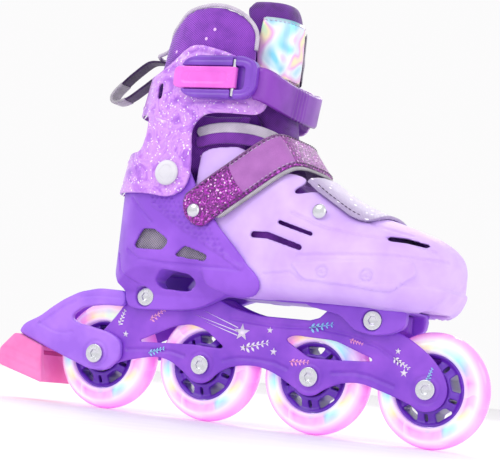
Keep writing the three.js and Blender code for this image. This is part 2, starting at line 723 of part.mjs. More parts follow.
// A pivot rivet: its cap lies on the cuff, its shank runs through the cuff and the heel shell.
function pivot(side) {
  const profile = [
    [0, 35.2], [3, 35.2], [3, 38.8], [4, 38.8], [4, 42.1], [8, 42.1], [8, 43.2], [6.6, 44], [0, 44],
  ];
  return placedSolid(turned(profile.map(([radius, y]) => [radius, side * y]), 16), ...ANKLE);
}

// ---- straps and buckle ------------------------------------------------------------------------

const STRAP_CREST = [14.5, 173];
const STRAP_TILT = 52;
const STRAP_WIDTH = 25;
const INSTEP_RIVET = [-41, 129.5];

// An arch over the instep: its legs run down and back to the rivets on the heel shell.
function instepStrap() {
  const legEnd = -80;
  const half = [
    [39.7, legEnd], [39.7, -50], [38.6, -36], [37.8, -24], [36.6, -14], [34.6, -8], [31, -3.6],
    [22, -0.8], [0, 0],
  ];
  const otherHalf = half.slice(0, -1).map(([y, n]) => [-y, n]).reverse();
  const arch = ribbon([...half, ...otherHalf], STRAP_THICKNESS, 22);
  const geometry = prism(arch, STRAP_WIDTH, 2);
  const tilt = STRAP_TILT * Math.PI / 180;
  const along = new THREE.Vector3(Math.cos(tilt), 0, -Math.sin(tilt));
  const normal = new THREE.Vector3(Math.sin(tilt), 0, Math.cos(tilt));
  const across = new THREE.Vector3(0, 1, 0);
  geometry.applyMatrix4(new THREE.Matrix4().makeBasis(across, normal, along));
  const start = along.clone().multiplyScalar(-STRAP_WIDTH / 2);
  geometry.translate(STRAP_CREST[0] + start.x, 0, STRAP_CREST[1] + start.z);
  const keep = rounded([
    [-47.5, 138], [-45, 143], [-20, 163], [-2, 190], [20, 200], [60, 150], [30, 140], [-20, 131],
    [-30, 124.5],
    [-41, 123.5], [-47.5, 129],
  ], 3);
  return solid(geometry)
    .intersect(sideways(keep, -60, 60))
    .subtract(crossHole(INSTEP_RIVET, 2.3, -60, 60, 12));
}

const LEVER_PIN = [-20, -47.4];
const STRAP_RIVET = [-36, 210];

function uprightHole([x, y], radius, low, high, segments = 12) {
  const geometry = new THREE.CylinderGeometry(radius, radius, high - low, segments);
  geometry.rotateX(Math.PI / 2);
  geometry.translate(x, y, (low + high) / 2);
  return solid(geometry);
}

// The base is a plate on the cuff with a raised rail above and below the lever, joined at the front.
function buckleBase() {
  const oval = [[-57, 203], [-57, 222], [-48, 226], [-12, 226], [-4, 221], [-4, 204], [-12, 199], [-48, 199]];
  const bay = [[-70, 204.6], [-12, 204.6], [-12, 219.4], [-70, 219.4]];
  return sideways(rounded(oval, 4), -44.4, -42)
    .add(sideways(rounded(oval, 4), -49, -44.2).subtract(sideways(rounded(bay, 2), -52, -44.4)))
    .subtract(uprightHole(LEVER_PIN, 1.6, 190, 230));
}

function buckleLever() {
  const [x, y] = LEVER_PIN;
  const plan = polygon([[x, y - 2.6], [x + 1.8, y - 1.9], [x + 2.6, y], [x + 1.8, y + 1.9], [x, y + 2.5],
    [-56, y + 2.5], [-61, y + 1], [-62, y - 1], [-58, y - 2.6]]);
  return upward(plan, 205, 219)
    .intersect(sideways(rounded([[-63, 205.2], [-63, 218.8], [-10, 218.8], [-10, 205.2]], 4), -60, -30))
    .subtract(uprightHole([x, y], 1.55, 190, 230));
}

function leverPin() {
  return uprightHole(LEVER_PIN, 1.25, 200.5, 223.5, 10);
}

// The buckle strap leaves the base, rounds the shin and ends on the inner side of the cuff.
function buckleStrap() {
  const centre = [
    [-3.4, -44.6], [1.4, -40], [4.8, -31], [6.6, -16], [7, 2], [6.6, 18], [3.8, 31], [-1.4, 38.8],
    [-10, 42.8], [-24, 43.7], [-44, 43.5],
  ];
  const side = polygon([
    [-45, 199], [-45, 221], [-8, 222], [0, 219.5], [10, 211], [10, 190.5], [0, 196.5], [-8, 199.5],
  ]);
  return upward(ribbon(centre, STRAP_THICKNESS, 20), 180, 230)
    .intersect(sideways(side, -60, 60))
    .subtract(crossHole(STRAP_RIVET, 2.3, 30, 60, 12));
}

// ---- materials and assembly -------------------------------------------------------------------

const MATERIALS = {
  tyre: [0xf3d3f2, 0.25, 0],
  hub: [0x6c28bc, 0.35, 0],
  steel: [0xb9bcc2, 0.3, 0.9],
  chassis: [0x9249d6, 0.4, 0],
  brakeArm: [0xae74f0, 0.4, 0],
  rubber: [0xff80c6, 0.6, 0],
  heelShell: [0x9a54e0, 0.4, 0],
  toeShell: [0xd6b4f8, 0.35, 0],
  cuff: [0xd09cf0, 0.35, 0],
  cap: [0xe2e2e6, 0.4, 0],
  buckle: [0x8246c8, 0.35, 0],
  lever: [0xf06ae4, 0.35, 0],
  strap: [0x8838b8, 0.45, 0],
  glitter: [0xa032aa, 0.5, 0],
  liner: [0x9632c8, 0.8, 0],
  tongue: [0x6e1e96, 0.8, 0],
  bridge: [0xc8b4dc, 0.5, 0],
  insole: [0x8c78a0, 0.9, 0],
};

function piece(name, body, look) {
  const [color, roughness, metalness] = MATERIALS[look];
  const material = new THREE.MeshStandardMaterial({ color, roughness, metalness });
  const mesh = new THREE.Mesh(toGeometry(body), material);
  mesh.name = name;
  return mesh;
}

function wheel(i) {
  const group = new THREE.Group();
  const x = AXLES[i];
  const number = i + 1;
  group.add(piece(`tyre_${number}`, tyre(x), 'tyre'));
  group.add(piece(`hub_${number}`, hub(x), 'hub'));
  group.add(piece(`bearing_lateral_${number}`, bearing(x, -1), 'steel'));
  group.add(piece(`bearing_medial_${number}`, bearing(x, 1), 'steel'));
  return group;
}

function axle(i) {
  const group = new THREE.Group();
  const number = i + 1;
  group.add(piece(`light_core_${number}`, lightCore(AXLES[i]), 'steel'));
  group.add(piece(`axle_bolt_${number}`, axleBolt(i), 'steel'));
  group.add(piece(`axle_nut_${number}`, axleNut(i), 'steel'));
  return group;
}

function mountFasteners(name, place) {
  const group = new THREE.Group();
  const face = MOUNT_HEAD_FACE;
  const end = face - 1;
  const bolt = crossBolt(place, MOUNT_BOLT_RADIUS, MOUNT_HEAD_RADIUS, face, 1.6, end);
  const nut = crossNut(place, MOUNT_BOLT_RADIUS, MOUNT_HEAD_RADIUS, face - 1.6, face, end);
  group.add(piece(`${name}_mount_bolt`, bolt, 'steel'));
  group.add(piece(`${name}_mount_nut`, nut, 'steel'));
  return group;
}

function boot() {
  const group = new THREE.Group();
  group.add(piece('heel_shell', heelShell(), 'heelShell'));
  group.add(piece('toe_shell', toeShell(), 'toeShell'));
  group.add(piece('toe_bridge', toeBridge(), 'bridge'));
  group.add(piece('toe_rivet_lateral', domeRivet(TOE_RIVET, -1, 41.2, 6), 'steel'));
  group.add(piece('toe_rivet_medial', domeRivet(TOE_RIVET, 1, 41.2, 6), 'steel'));
  group.add(piece('size_button', sizeButton(), 'lever'));
  group.add(piece('liner_sole', linerPanel('sole'), 'liner'));
  group.add(piece('liner_heel', linerPanel('heel'), 'liner'));
  group.add(piece('liner_vamp', linerPanel('vamp'), 'liner'));
  group.add(piece('insole', insole(), 'insole'));
  group.add(piece('instep_strap', instepStrap(), 'glitter'));
  group.add(piece('instep_rivet_lateral', domeRivet(INSTEP_RIVET, -1, 40.8, 4.6), 'steel'));
  group.add(piece('instep_rivet_medial', domeRivet(INSTEP_RIVET, 1, 40.8, 4.6), 'steel'));
  return group;
}

function ankle() {
  const group = new THREE.Group();
  group.add(piece('cuff', cuff(), 'cuff'));
  group.add(piece('cuff_pivot_lateral', pivot(-1), 'cap'));
  group.add(piece('cuff_pivot_medial', pivot(1), 'cap'));
  group.add(piece('liner_collar', linerCollar(), 'liner'));
  group.add(piece('tongue', tongue(), 'tongue'));
  group.add(piece('pull_loop', pullLoop(), 'tongue'));
  group.add(piece('buckle_base', buckleBase(), 'buckle'));
  group.add(piece('buckle_lever', buckleLever(), 'lever'));
  group.add(piece('buckle_pin', leverPin(), 'steel'));
  group.add(piece('buckle_strap', buckleStrap(), 'strap'));
  group.add(piece('buckle_strap_rivet', domeRivet(STRAP_RIVET, 1, 44.6, 3), 'steel'));
  return group;
}

const skate = new THREE.Group();
skate.position.x = ORIGIN_SHIFT;
AXLES.forEach((_, i) => skate.add(wheel(i), axle(i)));
skate.add(piece('chassis', chassis(), 'chassis'));
skate.add(piece('brake_arm', brakeArm(), 'brakeArm'));
skate.add(piece('brake_pad', brakePad(), 'rubber'));
skate.add(piece('brake_screw', padScrew(), 'steel'));
skate.add(mountFasteners('rear', REAR_MOUNT), mountFasteners('front', FRONT_MOUNT));
skate.add(boot(), ankle());

export default skate;
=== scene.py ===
"""A child's adjustable inline skate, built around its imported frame.

Laid out as an add-on and run as a script. Shapes are given in millimetres from the middle of the
wheelbase, on the ground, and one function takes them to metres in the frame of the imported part.
"""

import math

import bmesh
import bpy
import numpy as np
from mathutils import Matrix, Vector


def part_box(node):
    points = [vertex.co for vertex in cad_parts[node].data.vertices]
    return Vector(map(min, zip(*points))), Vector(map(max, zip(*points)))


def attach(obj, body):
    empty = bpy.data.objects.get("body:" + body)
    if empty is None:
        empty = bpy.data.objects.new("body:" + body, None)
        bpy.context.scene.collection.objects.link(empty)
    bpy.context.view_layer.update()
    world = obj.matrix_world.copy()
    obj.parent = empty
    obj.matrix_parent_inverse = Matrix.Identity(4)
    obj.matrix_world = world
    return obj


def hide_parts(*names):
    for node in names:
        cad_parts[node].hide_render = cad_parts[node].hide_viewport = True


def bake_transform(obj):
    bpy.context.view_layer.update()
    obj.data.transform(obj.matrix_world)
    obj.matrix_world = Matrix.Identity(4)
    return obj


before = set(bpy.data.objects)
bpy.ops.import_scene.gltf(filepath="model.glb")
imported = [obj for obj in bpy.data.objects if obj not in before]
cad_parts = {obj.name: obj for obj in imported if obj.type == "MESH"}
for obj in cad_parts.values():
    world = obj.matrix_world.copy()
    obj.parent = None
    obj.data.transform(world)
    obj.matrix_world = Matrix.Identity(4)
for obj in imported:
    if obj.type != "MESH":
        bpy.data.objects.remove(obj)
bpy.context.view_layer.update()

bl_info = {
    "name": "Inline skate",
    "version": (1, 0, 0),
    "blender": (4, 5, 0),
    "location": "View3D > Sidebar > Skate",
    "description": "Builds the looks of an inline skate around its fixed frame",
    "category": "Object",
}

MM = 0.001
TINY = 1e-9
CLOTH_STEPS = 20  # frames of simulation that swell a padded skin
SHIFT = 19.0  # the frame's origin lies this far behind the middle of the wheelbase
AXLES = (-112.5, -37.5, 37.5, 112.5)
AXLE_HEIGHT = 35.0
ANKLE = (-62.0, 152.0)
LEAN = 0.19  # how far the cuff leans forward for each millimetre above the ankle
WIDEST_HEIGHT = 104.0
REAR_MOUNT = (-80.0, 74.5)
FRONT_MOUNT = (76.5, 72.5)
INSTEP_RIVET = (-41.0, 129.5)
TOE_RIVET = (44.0, 133.5)
STRAP_RIVET = (-36.0, 210.0)
RIVET_FACE = 40.8  # the toe and instep rivets' seats, from the middle plane
LEVER_PIN = (-20.0, -47.4)


# ---- outlines ----------------------------------------------------------------------------------


def rounded(points, distance, steps=5, closed=True):
    """The outline with each corner taken off along a quadratic curve."""
    points = [np.array(p, float) for p in points]
    outline = []
    for i, here in enumerate(points):
        if not closed and i in (0, len(points) - 1):
            outline.append(here)
            continue
        before, after = points[i - 1], points[(i + 1) % len(points)]
        enter = here + (before - here) * min(distance / max(np.linalg.norm(before - here), TINY), 0.5)
        leave = here + (after - here) * min(distance / max(np.linalg.norm(after - here), TINY), 0.5)
        for t in np.linspace(0, 1, steps + 1):
            outline.append((1 - t) ** 2 * enter + 2 * t * (1 - t) * here + t * t * leave)
    return [p for i, p in enumerate(outline) if np.linalg.norm(p - outline[i - 1]) > 1e-3]


def curve(points, count, closed=False):
    """Evenly spaced points along a smooth curve through the given ones."""
    p = np.array(points, float)
    if closed:
        p = np.vstack([p[-1], p, p[0], p[1]])
    else:
        p = np.vstack([2 * p[0] - p[1], p, 2 * p[-1] - p[-2]])
    dense = []
    for a, b, c, d in zip(p[:-3], p[1:-2], p[2:-1], p[3:]):
        first, second, third = (max(np.linalg.norm(q - r), 1e-6) ** 0.5 for q, r in ((b, a), (c, b), (d, c)))
        start = ((b - a) / first - (c - a) / (first + second) + (c - b) / second) * second
        end = ((c - b) / second - (d - b) / (second + third) + (d - c) / third) * second
        for t in np.linspace(0, 1, 24, endpoint=False):
            dense.append((2 * t**3 - 3 * t**2 + 1) * b + (t**3 - 2 * t**2 + t) * start
                         + (3 * t**2 - 2 * t**3) * c + (t**3 - t**2) * end)
    dense = np.array(dense + [p[-2]])
    run = np.concatenate([[0], np.cumsum(np.linalg.norm(np.diff(dense, axis=0), axis=1))])
    places = np.linspace(0, run[-1], count, endpoint=not closed)
    return np.stack([np.interp(places, run, column) for column in dense.T], axis=1)


def plan_outline(stations, inset, count=200):
    """A plan view's outline from rows of x, half width and, where it isn't 0, the middle's y."""
    rows = [(row[0], row[1], row[2] if len(row) > 2 else 0.0) for row in stations]
    points = [(rows[0][0] - 1 + inset, rows[0][2])]
    points += [(x, middle - half + inset) for x, half, middle in rows]
    points += [(rows[-1][0] + 1 - inset, rows[-1][2])]
    points += [(x, middle + half - inset) for x, half, middle in reversed(rows)]
    return curve(points, count, closed=True)


def ribbon(points, thickness, count=60):
    """The outline of a strip of even thickness along a smooth line."""
    line = curve(points, count)
    along = np.gradient(line, axis=0)
    along /= np.linalg.norm(along, axis=1)[:, None]
    side = np.stack([-along[:, 1], along[:, 0]], axis=1) * thickness / 2
    return list(line + side) + list((line - side)[::-1])


def arc(centre, radius, start, end, count=16):
    angles = np.radians(np.linspace(start, end, count))
    return [(centre[0] + radius * math.cos(a), centre[1] + radius * math.sin(a)) for a in angles]


def bezier(a, b, c, d, count=12):
    a, b, c, d = (np.array(q, float) for q in (a, b, c, d))
    return [(1 - t) ** 3 * a + 3 * t * (1 - t) ** 2 * b + 3 * t * t * (1 - t) * c + t**3 * d
            for t in np.linspace(0, 1, count + 1)[1:-1]]


# ---- solids ------------------------------------------------------------------------------------


def build(name, points, faces):
    """A mesh object from points in millimetres, facing out, smooth shaded."""
    mesh = bpy.data.meshes.new(name)
    places = (np.asarray(points, float) + (SHIFT, 0, 0)) * MM
    mesh.from_pydata(places.tolist(), [], [list(map(int, f)) for f in faces])
    skin = bmesh.new()
    skin.from_mesh(mesh)
    bmesh.ops.recalc_face_normals(skin, faces=skin.faces)
    skin.to_mesh(mesh)
    skin.free()
    mesh.polygons.foreach_set("use_smooth", [True] * len(mesh.polygons))
    piece = bpy.data.objects.new(name, mesh)
    bpy.context.scene.collection.objects.link(piece)
    return piece


def prism_parts(outline, low, high, across="y"):
    point_at = {
        "x": lambda a, b, h: (h, a, b),
        "y": lambda a, b, h: (a, h, b),
        "z": lambda a, b, h: (a, b, h),
    }[across]
    n = len(outline)
    points = [point_at(a, b, h) for h in (low, high) for a, b in outline]
    faces = [tuple(range(n)), tuple(range(2 * n - 1, n - 1, -1))]
    faces += [(i, (i + 1) % n, n + (i + 1) % n, n + i) for i in range(n)]
    return points, faces


def prism(outline, low, high, across="y", lean=0.0):
    """An outline carried along one axis; lean shifts it forward with height."""
    points, faces = prism_parts(outline, low, high, across)
    points = [(x + lean * (z - ANKLE[1]), y, z) for x, y, z in points]
    return build("tool", points, faces)


def block(x0, x1, y0, y1, z0, z1):
    return prism([(x0, z0), (x1, z0), (x1, z1), (x0, z1)], y0, y1)


def cross_hole(place, radius, low, high, count=32):
    return prism(arc(place, radius, 0, 360 - 360 / count, count), low, high)


def turned(name, profile, place=(0.0, AXLE_HEIGHT), segments=96):
    """A lathed piece whose axis runs across the skate; a profile that ends on the axis is closed there."""
    ring = [(r, y) for r, y in profile if r > 1e-6]
    ends = [y for r, y in profile if r <= 1e-6]
    angles = [2 * math.pi * k / segments for k in range(segments)]
    points = [(place[0] + r * math.cos(a), y, place[1] + r * math.sin(a)) for r, y in ring for a in angles]
    rows = len(ring)
    pairs = [(i, i + 1) for i in range(rows - 1)] + ([] if ends else [(rows - 1, 0)])
    faces = []
    for i, j in pairs:
        for k in range(segments):
            m = (k + 1) % segments
            faces.append((i * segments + k, i * segments + m, j * segments + m, j * segments + k))
    for end, row in zip(ends, (0, rows - 1)):
        points.append((place[0], end, place[1]))
        tip = len(points) - 1
        faces += [(row * segments + k, row * segments + (k + 1) % segments, tip) for k in range(segments)]
    return build(name, points, faces)


def loft(rings):
    """A closed skin through a row of rings."""
    count = len(rings[0])
    points = [p for ring in rings for p in ring]
    faces = [tuple(range(count)), tuple(range((len(rings) - 1) * count, len(rings) * count))]
    for r in range(len(rings) - 1):
        for i in range(count):
            j = (i + 1) % count
            faces.append((r * count + i, r * count + j, (r + 1) * count + j, (r + 1) * count + i))
    return build("tool", points, faces)


def settle(piece):
    """Applies the piece's modifiers to its mesh."""
    bpy.context.view_layer.update()
    graph = bpy.context.evaluated_depsgraph_get()
    mesh = bpy.data.meshes.new_from_object(piece.evaluated_get(graph))
    piece.modifiers.clear()
    piece.data = mesh
    return piece


def drop(piece):
    bpy.data.objects.remove(piece, do_unlink=True)


def combine(piece, how, *tools):
    """Cuts, joins or keeps the piece's volume with each tool in turn, and removes the tools."""
    for tool in tools:
        joiner = piece.modifiers.new("combine", "BOOLEAN")
        joiner.operation = how
        joiner.solver = "MANIFOLD"
        joiner.object = tool
        settle(piece)
        drop(tool)
    if len(piece.data.polygons) == 0:
        raise RuntimeError(f"{piece.name}: {how} left nothing")
    return piece


def mould(piece, name, voxel=0.9, rounds=4):
    """Skins the solid evenly and rounds its edges, as a mould's parting and draft do."""
    remesh = piece.modifiers.new("skin", "REMESH")
    remesh.mode = "VOXEL"
    remesh.voxel_size = voxel * MM
    remesh.use_smooth_shade = True
    ease = piece.modifiers.new("ease", "SMOOTH")
    ease.factor = 0.5
    ease.iterations = rounds
    settle(piece)
    piece.name = name
    piece.data.name = name
    piece.data.polygons.foreach_set("use_smooth", [True] * len(piece.data.polygons))
    return piece


def places_of(piece):
    co = np.empty(len(piece.data.vertices) * 3)
    piece.data.vertices.foreach_get("co", co)
    return co.reshape(-1, 3)


def normals_of(piece):
    normal = np.empty(len(piece.data.vertices) * 3)
    piece.data.vertex_normals.foreach_get("vector", normal)
    return normal.reshape(-1, 3)


def line_distance(flat, points):
    best = np.full(len(flat), 1e9)
    for a, b in zip(points[:-1], points[1:]):
        a, b = np.array(a, float), np.array(b, float)
        t = np.clip((flat - a) @ (b - a) / max((b - a) @ (b - a), 1e-9), 0, 1)
        best = np.minimum(best, np.linalg.norm(flat - a - t[:, None] * (b - a), axis=1))
    return best


def inside(flat, polygon):
    found = np.zeros(len(flat), bool)
    for (x0, z0), (x1, z1) in zip(polygon, [*polygon[1:], polygon[0]]):
        if z0 == z1:
            continue
        crosses = (flat[:, 1] > z0) != (flat[:, 1] > z1)
        found ^= crosses & (flat[:, 0] < (x1 - x0) * (flat[:, 1] - z0) / (z1 - z0) + x0)
    return found


def relief(piece, lines=(), panels=(), edge=0.9, facing=0.3):
    """Raises or sinks ribs, grooves and panels drawn in side view on the outer faces of both sides."""
    co, normal = places_of(piece), normals_of(piece)
    flat = co[:, [0, 2]] / MM - (SHIFT, 0)
    push = np.zeros(len(co))
    for points, width, height in lines:
        depth = np.clip((width / 2 - line_distance(flat, points)) / edge + 0.5, 0, 1)
        push += height * depth * depth * (3 - 2 * depth)
    for points, height in panels:
        rim = line_distance(flat, [*points, points[0]])
        depth = np.clip(np.where(inside(flat, points), rim, -rim) / edge + 0.5, 0, 1)
        push += height * depth * depth * (3 - 2 * depth)
    outer = normal[:, 1] * np.sign(co[:, 1]) > facing
    co += normal * (push * outer * MM)[:, None]
    piece.data.vertices.foreach_set("co", co.ravel())
    piece.data.update()
    return piece


def strap(name, path, across, width, thickness, ends=0.0, rows=15, ribs=None):
    """A flat strap along a path: `across` is its width's direction and `ends` rounds its ends."""
    path, across = np.array(path, float), np.array(across, float)
    if across.ndim == 1:
        across = np.tile(across, (len(path), 1))
    along = np.gradient(path, axis=0)
    along /= np.linalg.norm(along, axis=1)[:, None]
    across = across - (across * along).sum(1)[:, None] * along
    across /= np.linalg.norm(across, axis=1)[:, None]
    normal = np.cross(along, across)
    run = np.concatenate([[0], np.cumsum(np.linalg.norm(np.diff(path, axis=0), axis=1))])
    rings = []
    for i, here in enumerate(path):
        share = 1.0
        if ends:
            reach = min(run[i], run[-1] - run[i])
            share = math.sqrt(max(1 - max(1 - reach / ends, 0) ** 2, 0.02))
        half, deep = width * share / 2, thickness / 2
        if ribs and ribs[0] < run[i] < ribs[1]:
            deep *= 1 + 0.45 * math.sin(2 * math.pi * (run[i] - ribs[0]) / ribs[2])
        ring = []
        for t in np.linspace(-1, 1, rows):
            swell = deep * math.sqrt(max(1 - abs(t) ** 10, 0))
            ring.append(here + across[i] * half * t + normal[i] * swell)
        for t in np.linspace(1, -1, rows)[1:-1]:
            swell = deep * math.sqrt(max(1 - abs(t) ** 10, 0))
            ring.append(here + across[i] * half * t - normal[i] * swell)
        rings.append(ring)
    piece = loft(rings)
    piece.name = name
    return piece


def tube(name, path, radius, sides=10):
    """A round cord of fixed length, sewn down or fixed at both ends."""
    path = np.array(path, float)
    along = np.gradient(path, axis=0)
    along /= np.linalg.norm(along, axis=1)[:, None]
    rings = []
    up = np.array((0.31, 0.17, 0.93))
    for here, way in zip(path, along):
        side = np.cross(way, up)
        side /= np.linalg.norm(side)
        up = np.cross(side, way)
        rings.append([here + radius * (side * math.cos(a) + up * math.sin(a))
                      for a in np.linspace(0, 2 * math.pi, sides, endpoint=False)])
    piece = loft(rings)
    piece.name = name
    return piece


def sewn(name, lines, step=3.4, length=2.3, thread=0.55):
    """Thread stitches: each line is rows of points and the outward normals there."""
    points, faces = [], []
    for path, normals in lines:
        path, normals = np.array(path, float), np.array(normals, float)
        run = np.concatenate([[0], np.cumsum(np.linalg.norm(np.diff(path, axis=0), axis=1))])
        for start in np.arange(step / 2, run[-1] - length, step):
            ends = [np.array([np.interp(start + d, run, path[:, k]) for k in range(3)]) for d in (0, length)]
            out = np.array([np.interp(start, run, normals[:, k]) for k in range(3)])
            way = (ends[1] - ends[0]) / np.linalg.norm(ends[1] - ends[0])
            side = np.cross(way, out)
            side /= np.linalg.norm(side)
            first = len(points)
            for share, wide in ((0, 0.35), (0.25, 1), (0.75, 1), (1, 0.35)):
                here = ends[0] + (ends[1] - ends[0]) * share + out * (0.3 * thread * wide)
                for a in range(6):
                    turn = math.pi * a / 3
                    points.append(here + thread / 2 * wide * (side * math.cos(turn) + out * math.sin(turn)))
            faces += [tuple(first + a for a in range(6)), tuple(first + 18 + a for a in range(6))]
            for r in range(3):
                for a in range(6):
                    b = (a + 1) % 6
                    faces.append((first + 6 * r + a, first + 6 * r + b, first + 6 * r + 6 + b,
                                  first + 6 * r + 6 + a))
    return build(name, points, faces)


def cushion(piece, cap, pressure=4.0):
    """Swells a closed skin with cloth pressure, no point moving further than the cap, and subdivides it."""
    rest = places_of(piece)
    cloth = piece.modifiers.new("stuffing", "CLOTH")
    cloth.settings.quality = 4
    cloth.settings.use_pressure = True
    cloth.settings.uniform_pressure_force = pressure
    cloth.settings.effector_weights.gravity = 0
    scene = bpy.context.scene
    for step in range(1, CLOTH_STEPS + 1):
        scene.frame_set(step)
    settle(piece)
    scene.frame_set(1)
    move = places_of(piece) - rest
    far = np.linalg.norm(move, axis=1)
    share = np.minimum(1, cap * MM / np.maximum(far, 1e-9))
    piece.data.vertices.foreach_set("co", (rest + move * share[:, None]).ravel())
    finer = piece.modifiers.new("finer", "SUBSURF")
    finer.levels = 1
    settle(piece)
    piece.data.polygons.foreach_set("use_smooth", [True] * len(piece.data.polygons))
    return piece


# ---- the foot's surface ------------------------------------------------------------------------

# x, half width, the middle's y, underside z, top z, roundness of the upper half
TOE_SECTIONS = (
    (-46, 35.0, 0, 78, 205, 4), (-20, 35.4, 0, 78, 190, 3.4), (0, 37.0, 0, 78, 178, 3),
    (8, 37.8, 0, 78.5, 177, 3), (20, 41.5, 0, 79.2, 166, 2.8), (35, 44.0, 0, 79.5, 154, 2.6),
    (50, 45.3, 0.2, 79.5, 145, 2.4), (66, 45.3, 0.6, 79.4, 138, 2.3), (80, 44, 1.2, 79.2, 134, 2.3),
    (92, 41.5, 1.8, 79, 130.5, 2.3), (101, 38, 2.6, 79, 127.6, 2.3), (109, 32, 3.6, 79, 124, 2.3),
    (115, 24.5, 4.8, 80.5, 120, 2.3), (119, 16.5, 6, 85, 115.5, 2.3), (121.5, 7, 7, 94, 109.5, 2.2),
)
LINER_SECTIONS = (
    (-106, 10, 0, 84, 200, 4), (-98, 22.5, 0, 84, 200, 4), (-80, 31.4, 0, 84, 200, 4),
    (-20, 31.6, 0, 82, 178, 3), (0, 32, 0, 82, 167, 2.7), (20, 33, 0, 82, 162, 2.8),
    (40, 36.4, 0, 82, 146, 2.6), (60, 38.8, 0.4, 82, 136.5, 2.3), (76, 38, 0.8, 82, 129.6, 2.3),
    (90, 33.8, 1.5, 82.6, 123.4, 2.3), (99, 27.6, 2.5, 83.4, 117.4, 2.3), (105, 20, 4, 85.5, 112.4, 2.3),
    (108, 12, 6, 91, 107.5, 2.3),
)


def foot_loft(inset, sections=TOE_SECTIONS, count=112, between=6):
    """The rounded body of the foot, inset by that many millimetres all round."""
    table = np.array(sections, float)
    slope = np.gradient(table, table[:, 0], axis=0)
    rows = []
    for k in range(len(table) - 1):
        gap = table[k + 1, 0] - table[k, 0]
        for t in np.linspace(0, 1, between, endpoint=False):
            rows.append((2 * t**3 - 3 * t**2 + 1) * table[k] + (t**3 - 2 * t**2 + t) * gap * slope[k]
                        + (3 * t**2 - 2 * t**3) * table[k + 1] + (t**3 - t**2) * gap * slope[k + 1])
            rows[-1][0] = table[k, 0] + t * gap
    rows.append(table[-1])
    start, end = table[0, 0], table[-1, 0]
    middle, shorter = (start + end) / 2, (end - start - 2 * inset) / (end - start)
    angle = 2 * math.pi * (np.arange(count) + 0.5) / count
    across, up = np.cos(angle), np.sin(angle)
    rings = []
    for x, half, centre, low, high, roundness in rows:
        power = np.where(up > 0, 2 / roundness, 2 / 4.5)
        reach = np.where(up > 0, high - inset - WIDEST_HEIGHT, WIDEST_HEIGHT - low - inset)
        y = centre + (half - inset) * np.sign(across) * np.abs(across) ** power
        z = WIDEST_HEIGHT + reach * np.sign(up) * np.abs(up) ** power
        rings.append(np.stack([np.full(count, middle + (x - middle) * shorter), y, z], axis=1))
    return loft(rings)


# ---- materials ---------------------------------------------------------------------------------


def linear(hex_colour, alpha=1.0):
    """A linear colour from an sRGB hex value such as 9B55E1."""
    parts = [int(hex_colour[i:i + 2], 16) / 255 for i in (0, 2, 4)]
    return (*(c / 12.92 if c <= 0.04045 else ((c + 0.055) / 1.055) ** 2.4 for c in parts), alpha)


def node(material, kind, inputs=None, **settings):
    """Adds one node with its settings, its socket values and its links."""
    made = material.node_tree.nodes.new(kind)
    for key, value in settings.items():
        if key == "stops":
            ramp = made.color_ramp
            while len(ramp.elements) < len(value):
                ramp.elements.new(0.5)
            for element, (position, colour) in zip(ramp.elements, value):
                element.position = position
                element.color = linear(colour)
        else:
            setattr(made, key, value)
    for socket, value in (inputs or {}).items():
        if isinstance(value, tuple) and len(value) == 2 and isinstance(value[0], bpy.types.Node):
            material.node_tree.links.new(value[0].outputs[value[1]], made.inputs[socket])
        else:
            made.inputs[socket].default_value = value
    return made


def begin(name, **sockets):
    """A new material, its shader with constants set on it, and its object coordinates."""
    material = bpy.data.materials.new(name)
    material.use_nodes = True
    material.node_tree.nodes.clear()
    shader = node(material, "ShaderNodeBsdfPrincipled",
                  {key.replace("_", " "): value for key, value in sockets.items()})
    node(material, "ShaderNodeOutputMaterial", {"Surface": (shader, "BSDF")})
    coords = node(material, "ShaderNodeTexCoord")
    return material, shader, coords


def link(material, source, output, target, socket):
    material.node_tree.links.new(source.outputs[output], target.inputs[socket])


def per_mm(size):
    """The texture scale whose features are that many millimetres across."""
    return 1 / (size * MM)


def moulded(name, colour, shade, roughness, grain, depth=0.12, coat=0.0, sheen=0.0):
    """Moulded plastic or rubber: two near shades in soft clouds, and the mould's spark-eroded grain."""
    material, shader, coords = begin(name, IOR=1.49, Coat_Weight=coat, Coat_Roughness=0.2, Sheen_Weight=sheen)
    clouds = node(material, "ShaderNodeTexNoise",
                  {"Vector": (coords, "Object"), "Scale": per_mm(28), "Detail": 3.0, "Roughness": 0.55})
    tint = node(material, "ShaderNodeValToRGB", {"Fac": (clouds, "Fac")},
                stops=[(0.36, shade), (0.62, colour)])
    link(material, tint, "Color", shader, "Base Color")
    wear = node(material, "ShaderNodeMapRange",
                {"Value": (clouds, "Fac"), "From Min": 0.3, "From Max": 0.7,
                 "To Min": roughness + 0.07, "To Max": roughness - 0.05})
    link(material, wear, "Result", shader, "Roughness")
    pits = node(material, "ShaderNodeTexNoise",
                {"Vector": (coords, "Object"), "Scale": per_mm(grain), "Detail": 4.0})
    bump = node(material, "ShaderNodeBump",
                {"Height": (pits, "Fac"), "Strength": depth, "Distance": 0.15 * MM})
    link(material, bump, "Normal", shader, "Normal")
    return material


